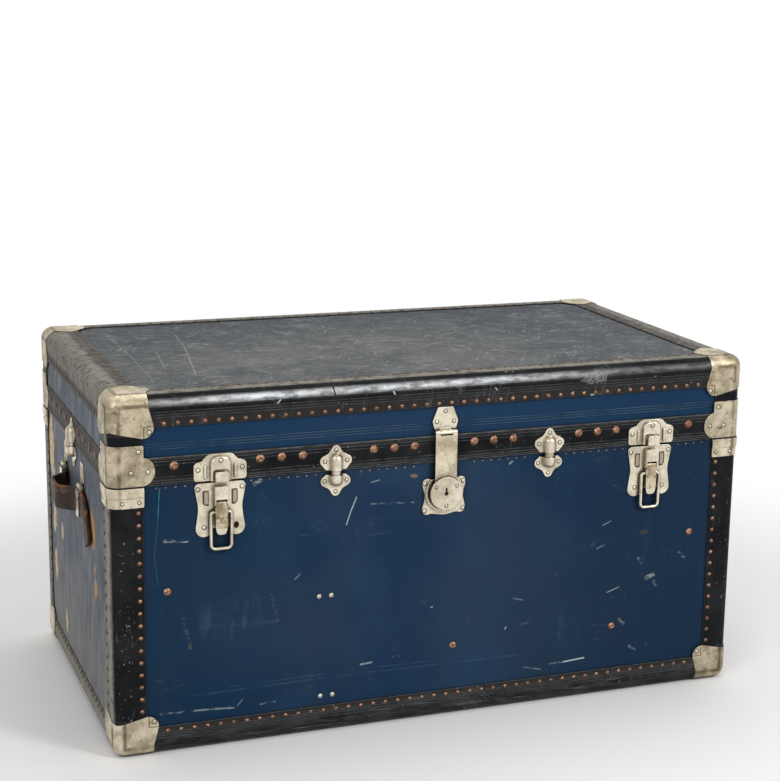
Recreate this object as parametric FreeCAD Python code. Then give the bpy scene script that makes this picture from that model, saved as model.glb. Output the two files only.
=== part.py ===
"""A flat-topped travelling trunk with draw bolts, a hasp lock, dowels, leather handles and lid stays.

Frame: origin on the floor under the middle of the trunk, X along its length, the front faces -Y,
Z up. Millimetres. Hardware is drawn in a local frame: u to the right, w up, n out of the wall,
with n = 0 on the outside of the bindings. A point (u, w, n) is the vector (u, -n, w).
"""
import FreeCAD
import Part
import math
import os

V = FreeCAD.Vector

# Trunk, measured over the bindings
LENGTH = 914.0
DEPTH = 506.0
HEIGHT = 488.0
LID_HEIGHT = 118.0
LID_GAP = 0.6
EDGE_RADIUS = 16.0

# Walls and fibre trim
BOARD = 9.0
BINDING = 1.6
CORNER_LEG = 43.0
BOTTOM_LEG = 38.0
TOP_DROP = 42.0
TOP_LEG_FRONT = 34.0
TOP_LEG_END = 47.0
BAND_HEIGHT = 36.5
BAND_GROOVES = (2.6, 5.4, 30.8, 33.6)
GROOVE_WIDTH = 1.2
GROOVE_DEPTH = 0.5

# Pressed corner metal
CORNER_METAL = 1.4
CAP_TOP_WIDTH = 52.0
CAP_REACH = 64.0
CAP_GAP = 4.0
CAP_SLANT = 15.0
CAP_LOBE = 14.0
CLAMP_TOP = 54.0
CLAMP_LOBE_TOP = 38.0
CLAMP_REACH = 59.0
CLAMP_TAB = 44.5
COLLAR_HEIGHT = 26.0
COLLAR_STEP = 12.0
COLLAR_LIP = 1.2
SEAM_CLEARANCE = 0.8

# Plates of the hardware
PLATE = 1.5
CORNER = 2.0
RUNNING = 0.05
SIDE_PLAY = 0.4
RELIEF = 0.5
SUNK = 0.5

# Draw bolts
LATCH_INSET = 144.5
LATCH_TOP_DROP = 2.6
LATCH_HALF_WIDTH = 35.0
LATCH_HEIGHT = 75.0
LATCH_WAIST = 6.0
LATCH_WAIST_RADIUS = 40.0
LATCH_FOOT_RADIUS = 11.0
LATCH_TONGUE_HALF = 15.0
LATCH_TONGUE = 14.0
LATCH_SLOT_INNER = 15.0
LATCH_SLOT_OUTER = 23.5
LATCH_SLOT_TOP = 10.0
LATCH_SLOT_FOOT = 31.0
LATCH_BLOCK_HALF = 8.7
LATCH_BLOCK_TOP = 4.0
LATCH_BLOCK_DROP = 21.5
LATCH_AXIS_DROP = 26.5
LATCH_AXIS_OUT = 4.3
LATCH_EAR = 1.3
LATCH_EAR_RADIUS = 4.2
LEVER_KNUCKLE = 3.2
LEVER_PIN = 1.65
LEVER_LENGTH = 35.0
LEVER_NUB = 7.3
LEVER_NUB_HALF = 5.5
LEVER_CURL = 2.4
LEVER_TAPER = 1.0
LEVER_GAP = 1.3
LEVER_WALL = 1.5
LEVER_WALL_INSET = 0.6
LEVER_WALL_DEPTH = 2.8
LEVER_WALL_TRIM = 3.0
LOOP_DROP = 12.0
LOOP_LENGTH = 52.0
LOOP_HALF_WIDTH = 15.9
LOOP_WIRE = 2.2
LOOP_END = 5.6
LOOP_SHOULDER = 4.0
LOOP_BEND = 6.0
KEEPER_HEIGHT = 36.0
KEEPER_CROWN_HALF = 16.0
KEEPER_CROWN_RADIUS = 9.0
KEEPER_EAR = 11.0
KEEPER_HOOD = 4.0
KEEPER_HOOD_HALF = 14.2
KEEPER_HOOD_DROP = 2.5
KEEPER_HOOD_RADIUS = 11.0
KEEPER_RIB = 2.4
KEEPER_RIB_INSET = 15.0
HOOK_HALF_WIDTH = 8.8
HOOK_SIDE = 2.2
HOOK_FOOT = 1.0
HOOK_HEIGHT = 13.0
HOOK_OUT = 12.0
HOOK_METAL = 1.6

# Hasp lock
HASP_AXIS_RISE = 41.0
HASP_AXIS_OUT = 3.4
HASP_KNUCKLE = 3.3
HASP_PIN = 1.5
HASP_HALF_WIDTH = 15.5
HASP_METAL = 2.0
HASP_CENTRE_HALF = 8.5
HASP_LEAF = 1.9
HASP_LEAF_TOP_HALF = 11.0
HASP_LEAF_HALF = 18.5
HASP_WEB = 1.6
LOCK_DROP = 43.0
LOCK_CASE_RADIUS = 21.5
LOCK_FACE_RADIUS = 23.2
LOCK_FACE = 1.4
LOCK_WALL = 1.2
LOCK_BACK = 2.7
LOCK_RISE = 1.5
LOCK_RING = 3.0
LOCK_RING_PLAY = 1.0
LOCK_RING_HEIGHT = 2.4
LOCK_BASE_DROP = 48.0
LOCK_LOBE_U = 34.0
LOCK_LOBE_W = 27.0
LOCK_LOBE_FOOT = 28.5
LOCK_LOBE_RADIUS = 7.0
LOCK_WAIST_HALF = 27.0
LOCK_WAIST_RADIUS = 25.0
LOCK_NOTCH_U = 19.0
LOCK_NOTCH_W = 24.0
LOCK_NOTCH_RADIUS = 6.0
LOCK_CREST = 21.0
LOCK_FOOT = 27.5
LOCK_CREST_RADIUS = 40.0
KEYHOLE_RADIUS = 3.0
STAPLE_DROP = 51.0
STAPLE_HALF_WIDTH = 2.5
STAPLE_METAL = 1.4
STAPLE_PLAY = 0.6
BOLT_LENGTH = 12.0
BOLT_WIDTH = 6.0
BOLT_METAL = 2.0
BOLT_OUT = 3.2
BOLT_PLAY = 0.2
BOLT_RAIL = 2.0
BOLT_SHY = 1.2

# Dowels
DOWEL_X = 155.0
DOWEL_AXIS_OUT = 1.0
DOWEL_PEG = 7.0
DOWEL_PEG_RISE = 18.0
DOWEL_PLAY = 0.6
DOWEL_WALL = 1.6
DOWEL_SOCKET_CREST = 24.5
DOWEL_SOCKET_SEAM = 1.5
DOWEL_BASE_CREST = 21.5
DOWEL_BASE_SEAM = 5.5
DOWEL_APEX = 41.0
DOWEL_TIP_RADIUS = 6.0
DOWEL_WAIST_HALF = 9.0
DOWEL_WAIST = 25.0
DOWEL_WAIST_RADIUS = 10.0
DOWEL_LOBE_U = 26.0
DOWEL_LOBE_W = 16.0
DOWEL_LOBE_RADIUS = 7.0
DOWEL_FOOT_HALF = 14.0

# Leather handles
HANDLE_DROP = 48.0
HANDLE_LOOP_Y = 62.0
HANDLE_AXIS_OUT = 3.2
HANDLE_KNUCKLE = 3.4
HANDLE_PIN = 1.5
HANDLE_CENTRE_HALF = 4.0
HANDLE_LOOP_HALF = 8.0
HANDLE_LOOP_METAL = 1.4
HANDLE_NECK = 3.0
HANDLE_WEB = 1.6
HANDLE_PLATE_HALF = 13.0
HANDLE_PLATE_RISE = 34.0
STRAP_WIDTH = 34.0
STRAP_THICKNESS = 5.0
STRAP_PLAY = 0.3
STRAP_BOW = 24.0
STRAP_LEAD = 10.0
STRAP_BEND = 14.0
STRAP_TAIL = 38.0
STRAP_HEEL = 8.0
STRAP_DROOP = 60.0

# Hinges on the back
HINGE_INSET = 157.0
HINGE_AXIS_OUT = 4.4
HINGE_KNUCKLE = 4.2
HINGE_PIN = 2.0
HINGE_HALF_WIDTH = 25.0
HINGE_CENTRE_HALF = 8.0
HINGE_LEAF_DROP = 58.0
HINGE_LEAF_RISE = 33.0
HINGE_LEAF_TAPER = 5.0
HINGE_LEAF_CORNER = 7.0
HINGE_METAL = 1.8
HINGE_CLEARANCE = 0.8
HINGE_TONGUE = 3.0

# Slotted lid stays
STAY_FLOOR_CLEARANCE = 46.0
STAY_RISE = 40.0
STAY_METAL = 2.0
STAY_HALF_WIDTH = 8.0
STAY_SHANK = 3.0
STAY_HEAD = 6.0
STAY_HEAD_METAL = 1.8
STAY_STANDOFF = 1.0
STAY_COLLAR = 2.0
STAY_OVERRUN = 1.0
STAY_PLAY = 0.2
LID_OPENING = 100.0

# Large rivets
BAND_RIVET_RISE = 24.0
BAND_RIVET_RADIUS = 5.8
BAND_RIVET_HEIGHT = 2.2
BAND_RIVET_PITCH = 29.0
BAND_RIVET_PITCH_END = 42.0
BAND_RIVET_MARGIN = 15.0
PANEL_RIVET_RADIUS = 5.2
PANEL_RIVET_INSET = 73.3
PANEL_RIVETS_OUTER = ((-1, 224.7), (1, 233.0))
PANEL_RIVETS_INNER = ((18.6, 103.0), (264.4, 103.0))
PIN_RIVET_RADIUS = 3.2
PIN_RIVETS = ((-176.6, 196.0), (-159.6, 196.0), (-174.6, 53.5), (-157.4, 53.5))

# Places that follow from the sizes above
HALF_LENGTH = LENGTH / 2
HALF_DEPTH = DEPTH / 2
PARTING = HEIGHT - LID_HEIGHT
CASE_TOP = PARTING - LID_GAP
FLOOR = CORNER_METAL + BINDING + BOARD
CAP_DROP = LID_HEIGHT - CLAMP_TOP - CAP_GAP
MIDDLE_HEIGHT = (CORNER_METAL + HEIGHT) / 2
INNER_HALF_LENGTH = HALF_LENGTH - BINDING - BOARD
INNER_HALF_DEPTH = HALF_DEPTH - BINDING - BOARD
LATCH_X = HALF_LENGTH - LATCH_INSET
LATCH_AXIS = -LATCH_TOP_DROP - LATCH_AXIS_DROP
LOCK_TOP = HASP_AXIS_OUT + HASP_KNUCKLE + LOCK_RISE
HANDLE_HEIGHT = PARTING - HANDLE_DROP
HINGE_X = HALF_LENGTH - HINGE_INSET
LEFT_RIGHT = {"left": -1, "right": 1}
MARGIN = 20.0


def box(low, high):
    """A box between two corners."""
    size = V(*high) - V(*low)
    return Part.makeBox(size.x, size.y, size.z, V(*low))


def local_box(u0, u1, w0, w1, n0, n1):
    """A box in the local frame of a wall."""
    return box((u0, -n1, w0), (u1, -n0, w1))


def rod(start, end, radius):
    """A round bar from start to end, both local (u, w, n) points."""
    a = V(start[0], -start[2], start[1])
    b = V(end[0], -end[2], end[1])
    return Part.makeCylinder(radius, (b - a).Length, a, b - a)


def fused(*shapes):
    """All shapes as one clean solid."""
    return shapes[0].multiFuse(list(shapes[1:])).removeSplitter()


def single(shape):
    """The one solid of a shape, or all its solids as a group."""
    solids = shape.Solids
    return solids[0] if len(solids) == 1 else Part.makeCompound(solids)


def rounded_edges(points, to_vector):
    """Edges of a closed outline whose corners (a, b, radius) are rounded."""
    corners = []
    count = len(points)
    for index, (a, b, radius) in enumerate(points):
        corner = V(a, b, 0)
        before = V(*points[index - 1][:2], 0) - corner
        after = V(*points[(index + 1) % count][:2], 0) - corner
        before.normalize()
        after.normalize()
        half = before.getAngle(after) / 2
        if radius == 0:
            corners.append((corner, None, corner))
            continue
        reach = radius / math.tan(half)
        middle = before + after
        middle.normalize()
        apex = corner + middle * (radius / math.sin(half) - radius)
        corners.append((corner + before * reach, apex, corner + after * reach))
    edges = []
    for index, (start, apex, end) in enumerate(corners):
        if apex is not None:
            edges.append(Part.Arc(to_vector(start), to_vector(apex), to_vector(end)).toShape())
        following = corners[(index + 1) % count][0]
        if (following - end).Length > 1e-6:
            edges.append(Part.LineSegment(to_vector(end), to_vector(following)).toShape())
    return edges


def prism(points, n0, n1):
    """A rounded outline in (u, w), extruded outwards from n0 to n1."""
    edges = rounded_edges(points, lambda p: V(p.x, -n0, p.y))
    return Part.Face(Part.Wire(edges)).extrude(V(0, n0 - n1, 0))


def mirrored_outline(right_half):
    """A closed outline from its right half, listed from top to bottom; points on the axis stay single."""
    left_half = [(-u, w, r) for u, w, r in reversed(right_half) if u != 0]
    return right_half + left_half


def on_front(shape, x, z):
    """Moves a local shape to the front wall."""
    return shape.translated(V(x, -HALF_DEPTH, z))


def on_back(shape, x, z):
    """Moves a local shape to the back wall."""
    return shape.rotated(V(0, 0, 0), V(0, 0, 1), 180).translated(V(x, HALF_DEPTH, z))


def on_end(shape, side, y, z):
    """Moves a local shape to the left (-1) or right (1) end."""
    return shape.rotated(V(0, 0, 0), V(0, 0, 1), 90 * side).translated(V(side * HALF_LENGTH, y, z))


def mirror_x(shape):
    return shape.mirror(V(0, 0, 0), V(1, 0, 0))


def mirror_y(shape):
    return shape.mirror(V(0, 0, 0), V(0, 1, 0))


def mirror_height(shape):
    return shape.mirror(V(0, 0, MIDDLE_HEIGHT), V(0, 0, 1))


def four_corners(front_left):
    """The front left piece and its three mirror images, by corner name."""
    front_right = mirror_x(front_left)
    return {"front_left": front_left, "front_right": front_right,
            "back_left": mirror_y(front_left), "back_right": mirror_y(front_right)}


def envelope(offset):
    """The trunk's rounded outer block, grown by offset."""
    grown = box((-HALF_LENGTH - offset, -HALF_DEPTH - offset, CORNER_METAL - offset),
                (HALF_LENGTH + offset, HALF_DEPTH + offset, HEIGHT + offset))
    return grown.makeFillet(EDGE_RADIUS + offset, grown.Edges)


def boards(core):
    """The five boards of the case and the five of the lid."""
    far = HALF_LENGTH + MARGIN
    deep = HALF_DEPTH + MARGIN
    ceiling = HEIGHT - BINDING - BOARD
    nodes = {}
    for name, low, high in (("case", -MARGIN, CASE_TOP), ("lid", PARTING, HEIGHT + MARGIN)):
        regions = {
            "front": ((-far, -deep, low), (far, -INNER_HALF_DEPTH, high)),
            "back": ((-far, INNER_HALF_DEPTH, low), (far, deep, high)),
            "left": ((-far, -INNER_HALF_DEPTH, low), (-INNER_HALF_LENGTH, INNER_HALF_DEPTH, high)),
            "right": ((INNER_HALF_LENGTH, -INNER_HALF_DEPTH, low), (far, INNER_HALF_DEPTH, high)),
        }
        for side, (a, b) in regions.items():
            nodes[f"{name}_{side}_board"] = single(core.common(box(a, b)))
    inside = (INNER_HALF_LENGTH, INNER_HALF_DEPTH)
    nodes["case_bottom_board"] = single(core.common(
        box((-inside[0], -inside[1], -MARGIN), (inside[0], inside[1], FLOOR))))
    nodes["lid_top_board"] = single(core.common(
        box((-inside[0], -inside[1], ceiling), (inside[0], inside[1], HEIGHT + MARGIN))))
    return nodes


def bindings(skin):
    """The fibre bindings along the edges and the band round the lid's lower edge."""
    far = HALF_LENGTH + MARGIN
    deep = HALF_DEPTH + MARGIN
    top = HEIGHT + MARGIN
    bottom_edge = CORNER_METAL + BOTTOM_LEG
    top_edge = HEIGHT - TOP_DROP
    band_top = PARTING + BAND_HEIGHT
    band_wrap = HALF_DEPTH - 2 * EDGE_RADIUS
    rind = skin.cut(envelope(-GROOVE_DEPTH))
    grooves = [rind.common(box((-far, -deep, PARTING + rise), (far, deep, PARTING + rise + GROOVE_WIDTH)))
               for rise in BAND_GROOVES]
    ribbed = skin.cut(grooves)

    def piece(low, high, stock=skin):
        return single(stock.common(box(low, high)))

    front = {
        "bottom_bindings": piece((-far, -deep, -MARGIN), (far, BOTTOM_LEG - HALF_DEPTH, bottom_edge)),
        "lid_binding": piece((-far, -deep, top_edge), (far, TOP_LEG_FRONT - HALF_DEPTH, top)),
        "lid_band": piece((-far, -deep, PARTING), (far, -band_wrap, band_top), ribbed),
    }
    bottom_stop = HALF_DEPTH - BOTTOM_LEG
    top_stop = HALF_DEPTH - TOP_LEG_FRONT
    left = {
        "bottom_bindings": piece((-far, -bottom_stop, -MARGIN),
                                 (BOTTOM_LEG - HALF_LENGTH, bottom_stop, bottom_edge)),
        "lid_binding": piece((-far, -top_stop, top_edge), (TOP_LEG_END - HALF_LENGTH, top_stop, top)),
        "lid_band": piece((-far, -band_wrap, PARTING),
                          (EDGE_RADIUS - HALF_LENGTH, band_wrap, band_top), ribbed),
    }
    nodes = {}
    for name in front:
        runs = {"front": front[name], "back": mirror_y(front[name]),
                "left": left[name], "right": mirror_x(left[name])}
        if name == "lid_binding":
            nodes.update({f"{name}_{side}": shape for side, shape in runs.items()})
        else:
            nodes[name] = Part.makeCompound(list(runs.values()))
    corner = (CORNER_LEG - HALF_LENGTH, CORNER_LEG - HALF_DEPTH)
    upright = piece((-far, -deep, bottom_edge), (*corner, CASE_TOP))
    nodes["case_corner_bindings"] = Part.makeCompound(list(four_corners(upright).values()))
    short = piece((-far, -deep, band_top), (*corner, top_edge))
    nodes["lid_corner_bindings"] = Part.makeCompound(list(four_corners(short).values()))
    return nodes


def corner_piece(metal, outline, flap=None):
    """Corner metal of the front left edge: one outline on both walls, and a flap outline on top."""
    outside = HALF_DEPTH + MARGIN
    front = Part.Face(Part.Wire(rounded_edges(
        outline, lambda p: V(p.x - HALF_LENGTH, -outside, p.y)))).extrude(V(0, MARGIN + EDGE_RADIUS, 0))
    outside = HALF_LENGTH + MARGIN
    end = Part.Face(Part.Wire(rounded_edges(
        outline, lambda p: V(-outside, p.x - HALF_DEPTH, p.y)))).extrude(V(MARGIN + EDGE_RADIUS, 0, 0))
    region = front.fuse(end)
    if flap:
        start = HEIGHT - EDGE_RADIUS
        top = Part.Face(Part.Wire(rounded_edges(
            flap, lambda p: V(p.x - HALF_LENGTH, p.y - HALF_DEPTH, start)))).extrude(
                V(0, 0, MARGIN + EDGE_RADIUS))
        region = region.fuse(top)
    return single(metal.common(region))


def corner_metal(block):
    """Top and bottom caps, clamps of the lid's lower corners and collars of the case's upper ones."""
    metal = envelope(CORNER_METAL).cut(block)
    top = HEIGHT + MARGIN
    cap_edge = HEIGHT - CAP_DROP + CAP_SLANT
    cap_outline = [(-MARGIN, top, 0), (CAP_TOP_WIDTH, top, 0), (CAP_TOP_WIDTH, HEIGHT - EDGE_RADIUS, 0),
                   (CAP_REACH, HEIGHT - CAP_DROP, CAP_LOBE), (0, cap_edge, 0), (-MARGIN, cap_edge, 0)]
    inner = CAP_REACH - 2 * CAP_LOBE
    flap = [(-MARGIN, -MARGIN, 0), (CAP_TOP_WIDTH, -MARGIN, 0), (CAP_TOP_WIDTH, EDGE_RADIUS, 0),
            (CAP_REACH, inner, CAP_LOBE), (inner, CAP_REACH, CAP_LOBE), (EDGE_RADIUS, CAP_TOP_WIDTH, 0),
            (-MARGIN, CAP_TOP_WIDTH, 0)]
    nodes = {}
    for place, cap in four_corners(corner_piece(metal, cap_outline, flap)).items():
        nodes[f"top_cap_{place}"] = cap
        nodes[f"bottom_cap_{place}"] = mirror_height(cap)

    base = PARTING + SEAM_CLEARANCE
    lobe = 0.47 * (CLAMP_LOBE_TOP - SEAM_CLEARANCE)
    clamp_outline = [(-MARGIN, base, 0), (CLAMP_REACH, base, lobe),
                     (CLAMP_REACH, PARTING + CLAMP_LOBE_TOP, lobe),
                     (CLAMP_TAB, PARTING + CLAMP_LOBE_TOP, 0), (CLAMP_TAB, PARTING + CLAMP_TOP, CORNER),
                     (-MARGIN, PARTING + CLAMP_TOP, 0)]
    clamp = corner_piece(metal, clamp_outline)
    nodes["lid_clamps"] = Part.makeCompound(list(four_corners(clamp).values()))

    rim = CASE_TOP - SEAM_CLEARANCE
    lip_metal = envelope(CORNER_METAL + COLLAR_LIP).cut(block)
    lower = [(-MARGIN, rim - COLLAR_HEIGHT, 0), (CLAMP_TAB, rim - COLLAR_HEIGHT, CORNER), (CLAMP_TAB, rim, 0),
             (-MARGIN, rim, 0)]
    upper = [(-MARGIN, rim - COLLAR_STEP, 0), (CLAMP_TAB, rim - COLLAR_STEP, 0), (CLAMP_TAB, rim, CORNER),
             (-MARGIN, rim, 0)]
    collar = fused(corner_piece(metal, lower), corner_piece(lip_metal, upper))
    nodes["case_collars"] = Part.makeCompound(list(four_corners(single(collar)).values()))
    return nodes


def latch_base():
    """Draw-bolt plate on the case: waisted plate, raised block and two ears for the lever."""
    front = PLATE - BINDING
    top = -LATCH_TOP_DROP
    foot = top - LATCH_HEIGHT
    tongue = foot + LATCH_TONGUE
    plate = prism(mirrored_outline([
        (LATCH_HALF_WIDTH, top, 3 * CORNER),
        (LATCH_HALF_WIDTH - LATCH_WAIST, top - 0.45 * LATCH_HEIGHT, LATCH_WAIST_RADIUS),
        (LATCH_HALF_WIDTH, foot, LATCH_FOOT_RADIUS), (LATCH_TONGUE_HALF, foot + 2 * CORNER, 2 * CORNER),
        (LATCH_TONGUE_HALF, tongue, 2 * CORNER)]), -BINDING, front)
    axis = (LATCH_AXIS, LATCH_AXIS_OUT)
    crown = LATCH_AXIS_OUT + LATCH_EAR_RADIUS
    block_foot = top - LATCH_BLOCK_DROP
    pieces = [local_box(-LATCH_BLOCK_HALF, LATCH_BLOCK_HALF, block_foot, top - LATCH_BLOCK_TOP, front, crown)]
    for side in (-1, 1):
        inner = side * (LATCH_BLOCK_HALF - LATCH_EAR)
        outer = side * LATCH_BLOCK_HALF
        u0, u1 = sorted((inner, outer))
        pieces.append(local_box(u0, u1, LATCH_AXIS, block_foot, front, crown))
        pieces.append(rod((u0, *axis), (u1, *axis), LATCH_EAR_RADIUS))
    body = fused(plate, *pieces)
    body = body.cut(rod((-MARGIN, *axis), (MARGIN, *axis), LEVER_PIN + RUNNING))
    slot_top = top - LATCH_SLOT_TOP
    slot_foot = top - LATCH_SLOT_FOOT
    for side in (-1, 1):
        near = side * LATCH_SLOT_INNER
        far = side * LATCH_SLOT_OUTER
        slot = [(near, slot_top, CORNER / 2), (far, slot_top, CORNER), (far, slot_foot, 3 * CORNER),
                (near, slot_foot, CORNER / 2)]
        body = body.cut(prism(slot, front - 0.8 * PLATE, MARGIN))
    return single(body)


def latch_lever():
    """Channel-shaped lever with trunnions in the ears and a curled finger nub."""
    axis = LATCH_AXIS
    out = LATCH_AXIS_OUT
    knuckle_half = LATCH_BLOCK_HALF - LATCH_EAR - SIDE_PLAY
    half = LATCH_BLOCK_HALF - SIDE_PLAY / 2
    face = out + LEVER_KNUCKLE
    start = axis - LATCH_EAR_RADIUS - LEVER_GAP
    end = axis - LEVER_LENGTH
    tip = end - LEVER_NUB
    curl = (tip + 1.1 * LEVER_CURL, face - LEVER_CURL)
    plate = prism(mirrored_outline([(half, start, CORNER / 2), (half - LEVER_TAPER, end, CORNER),
                                    (LEVER_NUB_HALF, tip, 0.9 * LEVER_NUB_HALF)]), face - LEVER_WALL, face)
    pieces = [local_box(-knuckle_half, knuckle_half, start - CORNER, axis, face - LEVER_WALL, face),
              rod((-knuckle_half, axis, out), (knuckle_half, axis, out), LEVER_KNUCKLE),
              rod((-LATCH_BLOCK_HALF, axis, out), (LATCH_BLOCK_HALF, axis, out), LEVER_PIN),
              rod((-LEVER_NUB_HALF, *curl), (LEVER_NUB_HALF, *curl), LEVER_CURL)]
    wall = half - LEVER_WALL_INSET
    for side in (-1, 1):
        u0, u1 = sorted((side * (wall - LEVER_WALL), side * wall))
        pieces.append(local_box(u0, u1, end + LEVER_WALL_TRIM, start - RELIEF, out - LEVER_WALL_DEPTH, face))
    body = fused(plate, *pieces)
    pivot = axis - LOOP_DROP
    return single(body.cut(rod((-MARGIN, pivot, out), (MARGIN, pivot, out), LOOP_WIRE + RUNNING)))


def latch_loop():
    """Bent wire draw loop whose inturned ends pivot in the lever's walls."""
    pivot = LATCH_AXIS - LOOP_DROP
    foot = pivot - LOOP_LENGTH + LOOP_WIRE
    leg = LOOP_HALF_WIDTH - LOOP_WIRE
    out = LATCH_AXIS_OUT
    shoulder = LOOP_SHOULDER
    bend = LOOP_BEND
    diagonal = math.sqrt(0.5)

    def at(u, w):
        return V(u, -out, w)

    def corner(u_sign, centre_w, w_sign, radius, reverse):
        centre = leg - radius
        points = [at(u_sign * centre, centre_w + w_sign * radius),
                  at(u_sign * (centre + radius * diagonal), centre_w + w_sign * radius * diagonal),
                  at(u_sign * leg, centre_w)]
        return Part.Arc(*(reversed(points) if reverse else points)).toShape()

    def line(a, b):
        return Part.LineSegment(a, b).toShape()

    path = [line(at(LOOP_END, pivot), at(leg - shoulder, pivot)),
            corner(1, pivot - shoulder, 1, shoulder, False),
            line(at(leg, pivot - shoulder), at(leg, foot + bend)),
            corner(1, foot + bend, -1, bend, True),
            line(at(leg - bend, foot), at(bend - leg, foot)),
            corner(-1, foot + bend, -1, bend, False),
            line(at(-leg, foot + bend), at(-leg, pivot - shoulder)),
            corner(-1, pivot - shoulder, 1, shoulder, True),
            line(at(shoulder - leg, pivot), at(-LOOP_END, pivot))]
    section = Part.Wire(Part.makeCircle(LOOP_WIRE, at(LOOP_END, pivot), V(1, 0, 0)))
    return Part.Wire(path).makePipeShell([section], True, False)


def latch_keeper():
    """Keeper on the lid's band: eared plate, domed boss and an upturned hook for the loop."""
    foot = SEAM_CLEARANCE
    ear_top = 0.68 * KEEPER_HEIGHT
    half = LATCH_HALF_WIDTH
    front = PLATE + KEEPER_HOOD
    plate = prism(mirrored_outline([(KEEPER_CROWN_HALF, KEEPER_HEIGHT, KEEPER_CROWN_RADIUS),
                                    (half - KEEPER_EAR, ear_top + 1.5 * CORNER, 2 * CORNER),
                                    (half, ear_top, 3 * CORNER), (half, foot, 2 * CORNER)]), 0, PLATE)
    hood = prism(mirrored_outline([(KEEPER_HOOD_HALF, KEEPER_HEIGHT - KEEPER_HOOD_DROP, KEEPER_HOOD_RADIUS),
                                   (KEEPER_HOOD_HALF, foot, 0)]), PLATE, front)
    rim = [edge for edge in hood.Edges
           if edge.BoundBox.YMax < RUNNING - front and edge.BoundBox.ZMax > foot + CORNER]
    hood = hood.makeFillet(0.8 * KEEPER_HOOD, rim)
    top = HOOK_FOOT + HOOK_HEIGHT
    recess_half = HOOK_HALF_WIDTH + HOOK_SIDE
    recess = prism(mirrored_outline([(recess_half, top + HOOK_METAL, 2 * CORNER), (recess_half, -MARGIN, 0)]),
                   front - KEEPER_HOOD / 2, MARGIN)
    arm = local_box(-HOOK_HALF_WIDTH, HOOK_HALF_WIDTH, HOOK_FOOT, HOOK_FOOT + HOOK_METAL, 0, HOOK_OUT)
    tab = prism(mirrored_outline([(HOOK_HALF_WIDTH, top, 1.5 * CORNER), (HOOK_HALF_WIDTH, HOOK_FOOT, 0)]),
                HOOK_OUT - HOOK_METAL, HOOK_OUT)
    pieces = [hood.cut(recess), arm, tab]
    for side in (-1, 1):
        u = side * (half - KEEPER_RIB_INSET)
        pieces.append(ridge(u, foot + CORNER, ear_top - CORNER, KEEPER_RIB, PLATE, PLATE / 2))
    return single(fused(plate, *pieces))


def lock_base():
    """Four-lobed plate on the case with a raised ring and the staple that the bolt enters."""
    front = PLATE - BINDING
    middle = -LOCK_BASE_DROP
    outline = mirrored_outline([(0, middle + LOCK_CREST, LOCK_CREST_RADIUS),
                                (LOCK_LOBE_U, middle + LOCK_LOBE_W, LOCK_LOBE_RADIUS),
                                (LOCK_WAIST_HALF, middle, LOCK_WAIST_RADIUS),
                                (LOCK_LOBE_U, middle - LOCK_LOBE_FOOT, LOCK_LOBE_RADIUS),
                                (LOCK_NOTCH_U, middle - LOCK_NOTCH_W, LOCK_NOTCH_RADIUS),
                                (0, middle - LOCK_FOOT, LOCK_CREST_RADIUS)])
    plate = prism(outline, -BINDING, front)
    inner = LOCK_FACE_RADIUS + LOCK_RING_PLAY
    ring = rod((0, -LOCK_DROP, front - SUNK), (0, -LOCK_DROP, front + LOCK_RING_HEIGHT), inner + LOCK_RING)
    ring = ring.cut(rod((0, -LOCK_DROP, -MARGIN), (0, -LOCK_DROP, MARGIN), inner))
    ring = ring.common(prism(outline, -MARGIN, MARGIN))
    half = BOLT_WIDTH / 2 + BOLT_PLAY + STAPLE_PLAY
    crown = LOCK_TOP - LOCK_WALL - RELIEF
    staple = local_box(-STAPLE_HALF_WIDTH, STAPLE_HALF_WIDTH, -STAPLE_DROP - half - STAPLE_METAL,
                       -STAPLE_DROP + half + STAPLE_METAL, front - SUNK, crown)
    eye = local_box(-MARGIN, MARGIN, -STAPLE_DROP - half, -STAPLE_DROP + half,
                    front + PLATE, crown - 0.65 * STAPLE_METAL)
    return single(fused(plate, *ring.Solids, staple.cut(eye)))


def keyhole():
    """Cutter for the keyhole: a round hole with a slot upwards."""
    half = 0.46 * KEYHOLE_RADIUS
    slot = local_box(-half, half, -LOCK_DROP, 2.7 * KEYHOLE_RADIUS - LOCK_DROP, -MARGIN, MARGIN)
    return rod((0, -LOCK_DROP, -MARGIN), (0, -LOCK_DROP, MARGIN), KEYHOLE_RADIUS).fuse(slot)


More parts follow.
